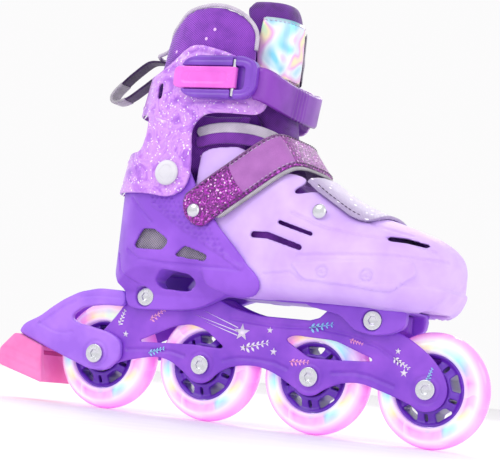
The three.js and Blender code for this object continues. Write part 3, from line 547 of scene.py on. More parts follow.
def woven(name, colour, shade, thread, roughness=0.75, sheen=0.4, strength=0.6, flecks=None):
    """Cloth: crossing threads as two waves, over and under, with painted shade on the low threads, painted
    highlight on the raised ones and slight random colour changes along them.
    """
    material, shader, coords = begin(name, Roughness=roughness, Sheen_Weight=sheen, Sheen_Roughness=0.4)
    split = node(material, "ShaderNodeSeparateXYZ", {"Vector": (coords, "Object")})
    flat = node(material, "ShaderNodeMath", {0: (split, "X"), 1: (split, "Y")}, operation="ADD")
    waves = []
    for source, output in ((flat, "Value"), (split, "Z")):
        turns = node(material, "ShaderNodeMath",
                     {0: (source, output), 1: 2 * math.pi / (thread * MM)}, operation="MULTIPLY")
        waves.append(node(material, "ShaderNodeMath", {0: (turns, "Value")}, operation="SINE"))
    cross = node(material, "ShaderNodeMath", {0: (waves[0], "Value"), 1: (waves[1], "Value")},
                 operation="MULTIPLY")
    height = node(material, "ShaderNodeMapRange", {"Value": (cross, "Value"), "From Min": -1.0})
    clouds = node(material, "ShaderNodeTexNoise",
                  {"Vector": (coords, "Object"), "Scale": per_mm(9), "Detail": 4.0})
    # Thread height times soft clouds picks the colour: painted shade where threads dip, painted highlight
    # where they rise, and random mottling.
    thread_shade_and_mottle = node(material, "ShaderNodeMath", {0: (height, "Result"), 1: (clouds, "Fac")}, operation="MULTIPLY")
    tint = node(material, "ShaderNodeValToRGB", {"Fac": (thread_shade_and_mottle, "Value")},
                stops=[(0.05, shade), (0.45, colour)])
    if flecks:
        cells = node(material, "ShaderNodeTexVoronoi",
                     {"Vector": (coords, "Object"), "Scale": per_mm(flecks[1])})
        pick = node(material, "ShaderNodeMath", {0: (cells, "Distance"), 1: flecks[2]}, operation="LESS_THAN")
        print_on = node(material, "ShaderNodeMix",
                        {0: (pick, "Value"), 6: (tint, "Color"), 7: linear(flecks[0])}, data_type="RGBA")
        link(material, print_on, 2, shader, "Base Color")
    else:
        link(material, tint, "Color", shader, "Base Color")
    bump = node(material, "ShaderNodeBump",
                {"Height": (height, "Result"), "Strength": strength, "Distance": 0.35 * MM})
    link(material, bump, "Normal", shader, "Normal")
    return material


def make_materials(colours):
    m = {}
    # Polypropylene, injection moulded: a soft satin skin with a fine spark-eroded grain.
    m["heel"] = moulded("polypropylene_moulded_violet", colours.heel, "8A4AD2", 0.42, 0.7, sheen=0.08)
    m["toe"] = moulded("polypropylene_moulded_lilac", colours.toe, "CFA9F4", 0.44, 0.7, sheen=0.08)
    # Glass-filled nylon, injection moulded: harder, a little glossier, with a faint orange peel.
    m["chassis"] = moulded("glass_nylon_moulded_purple", colours.chassis, "7D3CC8", 0.38, 1.1, 0.1, coat=0.12)
    m["arm"] = moulded("glass_nylon_moulded_lavender", colours.arm, "9D64E4", 0.38, 1.1, 0.1, coat=0.12)
    m["hub"] = moulded("nylon_moulded_deep_violet", "6D2BBF", "5A1EA6", 0.3, 1.0, 0.08, coat=0.25)
    m["buckle"] = moulded("acetal_moulded_purple", "7F42C4", "6A30AE", 0.3, 1.0, 0.06, coat=0.3)
    m["lever"] = moulded("acetal_moulded_pink", "F26FE4", "E058D2", 0.28, 1.0, 0.06, coat=0.35)
    m["cap"] = moulded("abs_moulded_pale_grey", "E2E1E7", "CDCBD6", 0.36, 0.9, 0.06, coat=0.15)
    # Thermoplastic rubber: nearly matt, with a dusty bloom.
    m["pad"] = moulded("rubber_moulded_pink", "FF86C8", "F46CB6", 0.62, 0.8, 0.25, sheen=0.25)
    # The magenta is painted shade: it colours a thin sheet laid over the pad's front face, where shade falls.
    m["pad_painted_shade"] = moulded("rubber_moulded_magenta_painted_shade", "D2268A", "B81676", 0.6, 0.8, 0.25, sheen=0.2)
    m["strap"] = moulded("polyurethane_moulded_violet", "8A3ABA", "7428A4", 0.34, 0.9, 0.08, coat=0.15)

    # Clear urethane, cast: painted light gathers pink at the tread, a weak emission of the same colour is a
    # painted glow, and a film round the hub shows a rainbow.
    material, shader, coords = begin("urethane_cast_clear_iridescent_painted_glow", IOR=1.5, Roughness=0.1,
                                    Transmission_Weight=0.35, Coat_Weight=0.8, Coat_Roughness=0.04,
                                    Emission_Strength=0.3)
    split = node(material, "ShaderNodeSeparateXYZ", {"Vector": (coords, "Object")})
    turn = node(material, "ShaderNodeMath", {0: (split, "Z"), 1: (split, "X")}, operation="ARCTAN2")
    share = node(material, "ShaderNodeMapRange",
                 {"Value": (turn, "Value"), "From Min": -math.pi, "From Max": math.pi, "To Max": 3.0})
    streaks = node(material, "ShaderNodeTexNoise",
                   {"Vector": (coords, "Object"), "Scale": per_mm(26), "Detail": 1.0, "Distortion": 0.8})
    moved = node(material, "ShaderNodeMath", {0: (share, "Result"), 1: (streaks, "Fac")}, operation="ADD")
    cycle = node(material, "ShaderNodeMath", {0: (moved, "Value")}, operation="FRACT")
    film = node(material, "ShaderNodeValToRGB", {"Fac": (cycle, "Value")},
                stops=[(0.0, "FFC4F2"), (0.16, "F56FD6"), (0.3, "E3A2FF"), (0.42, "8FB4FF"), (0.54, "7FE6F4"),
                       (0.66, "D8FFD0"), (0.78, "FFE08A"), (0.9, "FF8FD2")])
    flat = node(material, "ShaderNodeCombineXYZ", {"X": (split, "X"), "Z": (split, "Z")})
    radius = node(material, "ShaderNodeVectorMath", {0: (flat, "Vector")}, operation="LENGTH")
    depth = node(material, "ShaderNodeMapRange",
                 {"Value": (radius, "Value"), "From Min": 21.8 * MM, "From Max": 35 * MM})
    # Pale near the hub, pink towards the tread: the pink is painted light gathered in the clear urethane.
    body = node(material, "ShaderNodeValToRGB", {"Fac": (depth, "Result")},
                stops=[(0.0, "D8C6F4"), (0.3, "F7EDFC"), (0.62, "FBF0FD"), (0.84, "F6A6E6"), (1.0, "F27CDA")])
    ring = node(material, "ShaderNodeValToRGB", {"Fac": (depth, "Result")},
                stops=[(0.05, "3A3A3A"), (0.24, "F4F4F4"), (0.5, "C8C8C8"), (0.66, "4A4A4A"),
                       (0.95, "6A6A6A")])
    colour = node(material, "ShaderNodeMix", {0: (ring, "Color"), 6: (body, "Color"), 7: (film, "Color")},
                  data_type="RGBA")
    link(material, colour, 2, shader, "Base Color")
    # The tyre's whole colour also drives a weak emission: a painted glow.
    link(material, colour, 2, shader, "Emission Color")
    m["tyre"] = material

    # Steel, turned and nickel plated: a bright clean metal with very fine turning marks.
    material, shader, coords = begin("steel_turned_nickel_plated", Metallic=1.0, Base_Color=linear("D5D6DC"))
    marks = node(material, "ShaderNodeTexNoise",
                 {"Vector": (coords, "Object"), "Scale": per_mm(2.2), "Detail": 5.0})
    gloss = node(material, "ShaderNodeMapRange", {"Value": (marks, "Fac"), "To Min": 0.16, "To Max": 0.34})
    link(material, gloss, "Result", shader, "Roughness")
    bump = node(material, "ShaderNodeBump",
                {"Height": (marks, "Fac"), "Strength": 0.06, "Distance": 0.1 * MM})
    link(material, bump, "Normal", shader, "Normal")
    m["steel"] = material
    m["shield"] = moulded("steel_pressed_bearing_shield", "8E8F9A", "71727E", 0.35, 0.8)
    m["shield"].node_tree.nodes["Principled BSDF"].inputs["Metallic"].default_value = 0.9

    # Polycarbonate blend, moulded with swirled pigment: cloudy veins and pearl flakes.
    material, shader, coords = begin("polycarbonate_marbled_pearl", IOR=1.52, Coat_Weight=0.35,
                                    Coat_Roughness=0.12, Subsurface_Weight=0.05, Subsurface_Scale=0.002)
    veins = node(material, "ShaderNodeTexNoise",
                 {"Vector": (coords, "Object"), "Scale": per_mm(17), "Detail": 6.0, "Roughness": 0.6,
                  "Distortion": 1.6})
    swirl = node(material, "ShaderNodeValToRGB", {"Fac": (veins, "Fac")},
                 stops=[(0.3, "9C50D4"), (0.44, "BE78E6"), (0.52, "D79CF0"), (0.6, "C684E8"),
                        (0.7, "EFD0FA")])
    flakes = node(material, "ShaderNodeTexVoronoi", {"Vector": (coords, "Object"), "Scale": per_mm(0.8)})
    tone = node(material, "ShaderNodeSeparateColor", {"Color": (flakes, "Color")})
    pick = node(material, "ShaderNodeMath", {0: (tone, 0), 1: 0.965}, operation="GREATER_THAN")
    pearl = node(material, "ShaderNodeMix",
                 {0: (pick, "Value"), 6: (swirl, "Color"), 7: linear("FFF0FF")}, data_type="RGBA")
    link(material, pearl, 2, shader, "Base Color")
    gloss = node(material, "ShaderNodeMapRange", {"Value": (pick, "Value"), "To Min": 0.34, "To Max": 0.12})
    link(material, gloss, "Result", shader, "Roughness")
    m["cuff"] = material

    # Webbing woven with metallised glitter thread: flakes drawn 0.9 mm to show, each a random shade from dark
    # plum to near white, painted glints that stand in for flat flakes at many tilts.
    material, shader, coords = begin("webbing_woven_glitter_purple_painted_glints", Sheen_Weight=0.3, Sheen_Roughness=0.4)
    flakes = node(material, "ShaderNodeTexVoronoi", {"Vector": (coords, "Object"), "Scale": per_mm(0.9)})
    tone = node(material, "ShaderNodeSeparateColor", {"Color": (flakes, "Color")})
    # Per-flake lightness is painted glint standing in for each flake's tilt; the palest flakes are also made
    # metallic.
    glitter = node(material, "ShaderNodeValToRGB", {"Fac": (tone, 0)},
                   stops=[(0.0, "64106E"), (0.4, "8E2A98"), (0.7, "B03CB8"), (0.86, "D873DC"),
                          (0.96, "FFD6FF")])
    glitter.color_ramp.interpolation = "CONSTANT"
    link(material, glitter, "Color", shader, "Base Color")
    shine = node(material, "ShaderNodeMapRange", {"Value": (tone, 1), "To Min": 0.6, "To Max": 0.18})
    link(material, shine, "Result", shader, "Roughness")
    foil = node(material, "ShaderNodeMath", {0: (tone, 0), 1: 0.7}, operation="GREATER_THAN")
    link(material, foil, "Value", shader, "Metallic")
    bump = node(material, "ShaderNodeBump",
                {"Height": (tone, 2), "Strength": 0.35, "Distance": 0.25 * MM})
    link(material, bump, "Normal", shader, "Normal")
    m["glitter"] = material

    # Hot-stamped holographic foil: pastel colours in broken diagonal bands.
    material, shader, coords = begin("foil_hot_stamped_holographic", Metallic=0.3, Roughness=0.25,
                                     Coat_Weight=0.5)
    bands = node(material, "ShaderNodeTexNoise",
                 {"Vector": (coords, "Object"), "Scale": per_mm(24), "Detail": 1.0, "Distortion": 0.9})
    film = node(material, "ShaderNodeValToRGB", {"Fac": (bands, "Fac")},
                stops=[(0.3, "7FD4F0"), (0.4, "E7F6FF"), (0.48, "F4B6EC"), (0.56, "FFF3C4"), (0.64, "B9F0CF"),
                       (0.74, "C9A8F6")])
    link(material, film, "Color", shader, "Base Color")
    m["foil"] = material

    # Polyester knit, dyed: a deep violet ground that the light catches on the raised loops.
    m["liner"] = woven("polyester_knit_violet", "A24AD6", "5E1C96", 1.5, flecks=("E9BCF6", 9.0, 0.12))
    m["tongue"] = woven("polyester_knit_deep_purple", "7E2CB4", "34084E", 1.5)
    m["mesh"] = woven("polyester_mesh_grey", "ADA3B4", "5E5868", 1.6, strength=1.0)
    m["insole"] = woven("eva_foam_brushed_violet", "7A5C9A", "4A3466", 2.2, sheen=0.6)
    m["band"] = woven("nylon_webbing_violet", "9440C2", "5A1A84", 1.3)
    m["silver"] = woven("lurex_tape_silver_lilac", "E6DDEB", "A99DB4", 1.1, roughness=0.35, sheen=0.2)
    m["grey"] = woven("nylon_webbing_grey", "CFCBD2", "8E8994", 1.2)
    m["loop"] = woven("nylon_webbing_dark_plum", "4A2A66", "22102F", 1.2)
    m["satin"] = woven("satin_woven_mauve", "BC72C6", "9450A2", 0.8, roughness=0.4, sheen=0.2, strength=0.25)
    m["thread"] = woven("polyester_thread_plum", "4A1458", "2C0A36", 0.5)
    m["thread_pale"] = woven("polyester_thread_lilac", "E4D4EE", "B8A2C8", 0.5)
    # Soft sheet polyurethane, screen printed with pale dots, over a mesh that greys it.
    m["bridge"] = woven("polyurethane_sheet_printed_lilac", "B9A6CE", "8C77A8", 1.3, roughness=0.4,
                        strength=0.25, flecks=("F7F2FC", 6.0, 0.16))
    # Pad-printed ink, thin and slightly glossy.
    m["ink_white"] = moulded("ink_pad_printed_white", "FAF4FF", "ECE2F8", 0.35, 0.6, 0.05)
    m["ink_pink"] = moulded("ink_pad_printed_pink", "FFB0E6", "FA96DA", 0.35, 0.6, 0.05)
    m["ink_blue"] = moulded("ink_pad_printed_sky", "A8DCFF", "8CC8F6", 0.35, 0.6, 0.05)
    # Painted backdrop: a plain pale matt floor.
    m["floor"] = moulded("backdrop_paper_white", "FBF9FC", "F7F4F9", 0.5, 3.0, 0.02)
    return m


MATERIALS = {}


def place(piece, body, material, slot=None, *nodes):
    """Dresses a finished piece, hides the imported parts it stands in for and lets it ride on its body."""
    piece.data.materials.clear()
    piece.data.materials.append(MATERIALS[material])
    if nodes:
        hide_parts(*nodes)
    if body:
        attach(piece, body)
    return piece


def centre_on(piece, place_mm):
    """Moves the object's own origin to that point, so patterns turn about it."""
    centre = Vector(((place_mm[0] + SHIFT) * MM, place_mm[1] * MM, place_mm[2] * MM))
    piece.data.transform(Matrix.Translation(-centre))
    piece.location = centre
    return piece


# ---- settings ----------------------------------------------------------------------------------


class SkateSizes(bpy.types.PropertyGroup):
    tread_width: bpy.props.FloatProperty(
        name="Tread width", description="Width across a tyre", default=0.022, unit="LENGTH",
        subtype="DISTANCE")
    strap_width: bpy.props.FloatProperty(
        name="Strap width", description="Width of the instep strap", default=0.025, unit="LENGTH",
        subtype="DISTANCE")
    stitch_step: bpy.props.FloatProperty(
        name="Stitch length", description="From one stitch to the next", default=0.0034, unit="LENGTH",
        subtype="DISTANCE")
    skin: bpy.props.FloatProperty(
        name="Skin size", description="Size of the faces on the moulded shells", default=0.0009,
        unit="LENGTH", subtype="DISTANCE")


class SkateColours(bpy.types.PropertyGroup):
    heel: bpy.props.StringProperty(name="Heel shell", description="sRGB hex value", default="9C5AE2")
    toe: bpy.props.StringProperty(name="Toe shell", description="sRGB hex value", default="DBBBFA")
    chassis: bpy.props.StringProperty(name="Frame", description="sRGB hex value", default="9850DA")
    arm: bpy.props.StringProperty(name="Brake arm", description="sRGB hex value", default="B278F0")


def sizes():
    return bpy.context.scene.skate_sizes


def skin():
    return sizes().skin / MM


# ---- wheels ------------------------------------------------------------------------------------


class SKATE_OT_wheels(bpy.types.Operator):
    """Four tyres, hubs, bearings and magnet cores"""

    bl_idname = "skate.wheels"
    bl_label = "Wheels"

    def execute(self, context):
        side = sizes().tread_width / MM / 2
        first = AXLES[0]
        profile = rounded([(21.8, -side), (28.5, -side + 0.6), (33.4, -side + 5.0), (35, -2), (35, 2),
                           (33.4, side - 5.0), (28.5, side - 0.6), (21.8, side)], 2.4)
        profile = [(min(r, 35.0), y) for r, y in profile]
        tyre = turned("tyre_1_cast", profile, (first, AXLE_HEIGHT), 128)
        rim = rounded([(9.2, -4.2), (11.3, -4.2), (11.3, -10.6), (13.8, -10.6), (18.6, -7.6), (21.5, -9.6),
                       (21.5, 9.6), (18.6, 7.6), (13.8, 10.6), (11.3, 10.6), (11.3, 4.2), (9.2, 4.2)], 0.7, 3)
        hub = turned("hub", rim, (first, AXLE_HEIGHT), 96)
        tools = []
        for k in range(5):
            for outline, offset in (([(-3.6, 14.0), (-6.0, 18.9), (6.0, 18.9), (3.6, 14.0)], 0),
                                    ([(-1.1, 13.6), (-1.1, 18.4), (1.1, 18.4), (1.1, 13.6)], 36)):
                a = math.radians(72 * k + offset)
                turn = [(first + x * math.cos(a) - z * math.sin(a),
                         AXLE_HEIGHT + x * math.sin(a) + z * math.cos(a))
                        for x, z in rounded(outline, 1.1)]
                tools.append(prism(turn, -20, 20))
        hub = mould(combine(hub, "DIFFERENCE", *tools), "hub_1_moulded", 0.6, 3)
        ring = rounded([(4.2, 4.5), (11, 4.5), (11, 11.5), (9.9, 11.5), (9.3, 11.1), (6.9, 11.1), (6.4, 11.5),
                        (4.2, 11.5)], 0.3, 2)
        lateral = turned("bearing_lateral_1_ring", [(r, -y) for r, y in ring], (first, AXLE_HEIGHT), 64)
        medial = turned("bearing_medial_1_ring", ring, (first, AXLE_HEIGHT), 64)
        core = turned("light_core_1_sleeve", rounded([(4.3, -4.2), (8, -4.2), (8, 4.2), (4.3, 4.2)], 0.5, 2),
                      (first, AXLE_HEIGHT), 48)
        for piece in (tyre, hub, lateral, medial, core):
            centre_on(piece, (first, 0, AXLE_HEIGHT))
        for i, x in enumerate(AXLES, start=1):
            for original, stem, node_name, material, slot in (
                    (tyre, "tyre_{}_cast", "tyre_{}", "tyre", "clear_urethane"),
                    (hub, "hub_{}_moulded", "hub_{}", "hub", "hub_nylon"),
                    (lateral, "bearing_lateral_{}_ring", "bearing_lateral_{}", "shield", "plated_steel"),
                    (medial, "bearing_medial_{}_ring", "bearing_medial_{}", "shield", "plated_steel"),
                    (core, "light_core_{}_sleeve", "light_core_{}", "shield", "plated_steel")):
                piece = original if i == 1 else bpy.data.objects.new(stem.format(i), original.data)
                if i > 1:
                    context.scene.collection.objects.link(piece)
                    piece.location = original.location + Vector(((x - first) * MM, 0, 0))
                body = "base" if stem.startswith("light") else f"wheel_{i}"
                if i == 1:
                    place(piece, body, material, slot, node_name.format(i))
                else:
                    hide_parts(node_name.format(i))
                    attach(piece, body)
        return {"FINISHED"}


def socket_bolt(name, spot, radius, head, face, deep, end):
    """A round-edged bolt head with a hexagon socket, on the outer side."""
    seat = face - deep
    profile = rounded([(0, end), (radius, end), (radius, -seat), (head, -seat), (head, -face), (0, -face)],
                      0.5, 3, closed=False)
    bolt = turned(name, profile, spot, 48)
    hexagon = prism(arc(spot, head * 0.46, 0, 300, 6), -face - 1, -face + min(1.5, deep - 0.2))
    combine(bolt, "DIFFERENCE", hexagon)
    bevel = bolt.modifiers.new("edge", "BEVEL")
    bevel.width = 0.18 * MM
    bevel.segments = 2
    bevel.limit_method = "ANGLE"
    bevel.angle_limit = math.radians(40)
    settle(bolt)
    return bolt


class SKATE_OT_bolts(bpy.types.Operator):
    """Axle bolts and nuts, mount bolts and nuts"""

    bl_idname = "skate.bolts"
    bl_label = "Bolts and nuts"

    def execute(self, context):
        rows = [(f"axle_bolt_{i + 1}", f"axle_nut_{i + 1}", (x, AXLE_HEIGHT), 4.0, 6.0,
                 19.0 if i == 0 else 14.5)
                for i, x in enumerate(AXLES)]
        for bolt_node, nut_node, spot, radius, head, wall in rows:
            bolt = socket_bolt(bolt_node + "_turned", spot, radius, head, wall + 2, 1.8, wall + 0.9)
            place(bolt, "base", "steel", "plated_steel", bolt_node)
            self.nut(nut_node, spot, radius, head, wall + 0.2, wall + 2, wall + 0.9)
        for stem, spot in (("rear_mount", REAR_MOUNT), ("front_mount", FRONT_MOUNT)):
            low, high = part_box(stem + "_bolt")
            deep, end = -low.y / MM, high.y / MM
            bolt = socket_bolt(stem + "_bolt_turned", spot, 3.0, 6.0, deep, 1.6, end)
            place(bolt, "base", "steel", "plated_steel", stem + "_bolt")
            low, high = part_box(stem + "_nut")
            self.nut(stem + "_nut", spot, 3.0, 6.0, low.y / MM, high.y / MM, end)
        return {"FINISHED"}

    def nut(self, name, spot, radius, head, seat, face, bolt_end):
        bore = radius + 0.25
        profile = rounded([(0, bolt_end + 0.3), (bore, bolt_end + 0.3), (bore, seat), (head, seat),
                           (head, face), (0, face)], 0.4, 3, closed=False)
        place(turned(name + "_turned", profile, spot, 48), "base", "steel", "plated_steel", name)


# ---- frame and brake ---------------------------------------------------------------------------


def plate_outline():
    """The side plate: lobes round the axles and mounts, swept edges between them."""
    z = AXLE_HEIGHT
    outline = arc((AXLES[0], z), 11, 120, 315)
    outline += bezier(outline[-1], (-96, 32), (-88, 34), (-75, 36.5)) + [(-75, 36.5)]
    lobe = arc((AXLES[1], z), 11.5, 225, 315)
    outline += bezier((-75, 36.5), (-62, 38.5), (-56, 34), lobe[0]) + lobe
    outline += bezier(outline[-1], (-22, 35), (-14, 38), (0, 38)) + [(0, 38)]
    lobe = arc((AXLES[2], z), 11.5, 225, 315)
    outline += bezier((0, 38), (14, 37), (22, 30), lobe[0]) + lobe
    outline += bezier(outline[-1], (56, 34), (66, 35.5), (74, 34)) + [(74, 34)]
    lobe = arc((AXLES[3], z), 13, 230, 385, 24)
    outline += bezier((74, 34), (86, 31), (96, 28), lobe[0]) + lobe
    outline += bezier(outline[-1], (121, 50), (108, 61), (90, 68)) + [(90, 68)]
    outline += [(90, 78.6), (47, 78.6), (40, 71.5), (34, 69.5), (0, 69.5)]
    outline += bezier((0, 69.5), (-14, 71), (-24, 74), (-33, 79.2)) + [(-33, 79.2), (-92, 79.2)]
    outline += bezier((-92, 79.2), (-96, 70), (-104, 58), (-113, 49)) + [(-113, 49)]
    return outline


class SKATE_OT_chassis(bpy.types.Operator):
    """The moulded frame that holds the wheels"""

    bl_idname = "skate.chassis"
    bl_label = "Frame"

    def execute(self, context):
        chassis = prism(plate_outline(), 12.3, 14.5)
        combine(chassis, "UNION", prism(plate_outline(), -14.5, -12.3),
                block(-91, -62, -12.8, 12.8, 70.5, 79.2), block(-4, 4, -12.8, 12.8, 60, 68),
                block(60, 88, -12.8, 12.8, 68.5, 78.6))
        windows = (rounded([(-86, 45.5), (-60, 57.5), (-48, 60), (-37, 57.5), (-21, 46.5), (-45, 47.5)], 4),
                   rounded([(18, 56.5), (24, 59.5), (52, 58.5), (81, 48.5), (58, 47.2), (36, 46.5)], 4))
        combine(chassis, "DIFFERENCE", *(prism(w, -20, 20) for w in windows),
                *(cross_hole((x, AXLE_HEIGHT), 4.3, -16, 16) for x in AXLES),
                *(cross_hole(spot, 3.3, -16, 16) for spot in (REAR_MOUNT, FRONT_MOUNT)))
        mould(chassis, "chassis_moulded", 0.75, 3)
        upper = [(-20, 66), (0, 64.5), (16, 64), (40, 65), (60, 63), (80, 57.5), (95, 49)]
        lower = [(-92, 40), (-75, 41.5), (-60, 41.5), (-50, 39.5)]
        middle = [(-22, 39.5), (-12, 42), (0, 42.5), (13, 41.5), (22, 38.5)]
        front = [(52, 39), (66, 40.5), (76, 39.5), (92, 35)]
        rings = [(arc((x, AXLE_HEIGHT), 8.2, 0, 360, 40), 1.3, -0.5) for x in AXLES[1:]]
        relief(chassis, lines=[(upper, 2.0, -1.0), (lower, 2.0, -1.0), (middle, 2.0, -1.0),
                               (front, 2.0, -1.0), *rings])
        place(chassis, "base", "chassis", "chassis_nylon", "chassis")
        return {"FINISHED"}


class SKATE_OT_brake(bpy.types.Operator):
    """The heel brake: its arm, pad, a magenta sheet of painted shade over the pad's front face, and screw"""

    bl_idname = "skate.brake"
    bl_label = "Heel brake"

    def execute(self, context):
        outline = rounded([
            (-95, 77.2), (-115, 77.5), (-130, 74), (-141, 68.5), (-150, 62.5), (-158, 56), (-170, 50),
            (-174, 43.8), (-155, 37), (-135, 30.5), (-116, 24.5), (-103, 25), (-94, 34), (-95, 45),
            (-104, 49.5), (-118, 52), (-131, 54), (-134.5, 58), (-126, 64.5), (-110, 67), (-95, 67)], 4)
        tail = [(-173.6, 44), (-155, 37.2), (-151.5, 38), (-150, 45), (-146.5, 53), (-141, 61), (-138.5, 67),
                (-150, 62), (-158, 55.6), (-169.6, 49.6)]
        arm = prism(outline, 14.8, 19)
        combine(arm, "UNION", prism(outline, -19, -14.8), prism(tail, -15.8, 15.8))
        combine(arm, "DIFFERENCE", cross_hole((AXLES[0], AXLE_HEIGHT), 4.3, -22, 22),
                prism(arc((-161, 0), 2.4, 0, 345, 24), 30, 60, "z"),
                prism(arc((-161, 0), 4.3, 0, 345, 24), 47, 70, "z"))
        mould(arm, "brake_arm_moulded", 0.8, 4)
        relief(arm, lines=[([(-158, 51), (-150, 56), (-140, 63.5), (-132, 67.5)], 1.8, -0.7),
                           ([(-158, 51), (-147, 47), (-140, 46), (-132, 47.5)], 1.6, -0.6),
                           ([(-128, 70.5), (-116, 72.5), (-98, 72.5)], 1.6, -0.5),
                           (arc((AXLES[0], AXLE_HEIGHT), 8.4, 0, 360, 40), 1.4, -0.6)])
        place(arm, "base", "arm", "arm_nylon", "brake_arm")

        pad = prism(rounded([(-174.2, 43.4), (-185.5, 31.5), (-185, 21.3), (-149, 12), (-151.5, 25),
                             (-152.5, 36.1), (-155.2, 36.7)], 2.2), -22, 22)
        hollow = prism(arc((AXLES[0], AXLE_HEIGHT), 41.5, 170, 225, 24) + [(-120, 0), (-120, 40)], -18, 18)
        combine(pad, "DIFFERENCE", prism(arc((-161, 0), 2.4, 0, 345, 24), 24, 60, "z"), hollow)
        mould(pad, "brake_pad_moulded", 0.9, 5)
        relief(pad, lines=[([(-182, 27), (-152, 19)], 1.4, -0.5), ([(-180, 33), (-153, 26)], 1.4, -0.5)])
        place(pad, "base", "pad", "brake_rubber", "brake_pad")
        # A thin magenta sheet over the pad's front face: painted shade, standing for the shade that falls
        # there.
        face = prism(ribbon([(-154.3, 33.5), (-154.2, 28), (-152.6, 21), (-150.6, 15.5)], 1.2), -16.5, 16.5)
        mould(face, "brake_pad_front_painted_shade", 0.6, 2)
        place(face, "base", "pad_painted_shade", "brake_rubber")

        low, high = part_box("brake_screw")
        profile = rounded([(0, low.z / MM), (2.1, low.z / MM), (2.1, 47.6), (4, 47.6), (4, high.z / MM - 0.4),
                           (2.6, high.z / MM), (0, high.z / MM)], 0.3, 3, closed=False)
        screw = turned("brake_screw_turned", profile, (-161, 0), 40)
        turn = Matrix(((1, 0, 0), (0, 0, -1), (0, 1, 0))).to_4x4()
        screw.data.transform(turn)
        slot_floor = high.z / MM - 1.2
        cross = prism([(-163.2, -0.5), (-158.8, -0.5), (-158.8, 0.5), (-163.2, 0.5)], slot_floor, 60, "z")
        other = prism([(-161.5, -2.2), (-160.5, -2.2), (-160.5, 2.2), (-161.5, 2.2)], slot_floor, 60, "z")
        combine(screw, "DIFFERENCE", cross, other)
        place(screw, "base", "steel", "plated_steel", "brake_screw")
        return {"FINISHED"}


# ---- shells ------------------------------------------------------------------------------------

HEEL_PLAN = ((-109, 9), (-104, 19.5), (-95, 28.5), (-82, 35), (-62, 38.2), (-30, 38.4), (0, 40.4), (14, 42.4),
             (30, 45))
REAR_VENT = ((-85, 105), (-78, 117), (-69, 117), (-57, 110), (-61, 103.5), (-78, 103.5))
SIDE_VENT = ((-53, 100.6), (-46, 107.6), (-29, 102.6), (-30, 98.6))
HEEL_RIDGE = ((-72, 132.5), (-65, 129), (-45, 117), (-30, 109.5), (-15, 102), (-5, 96))


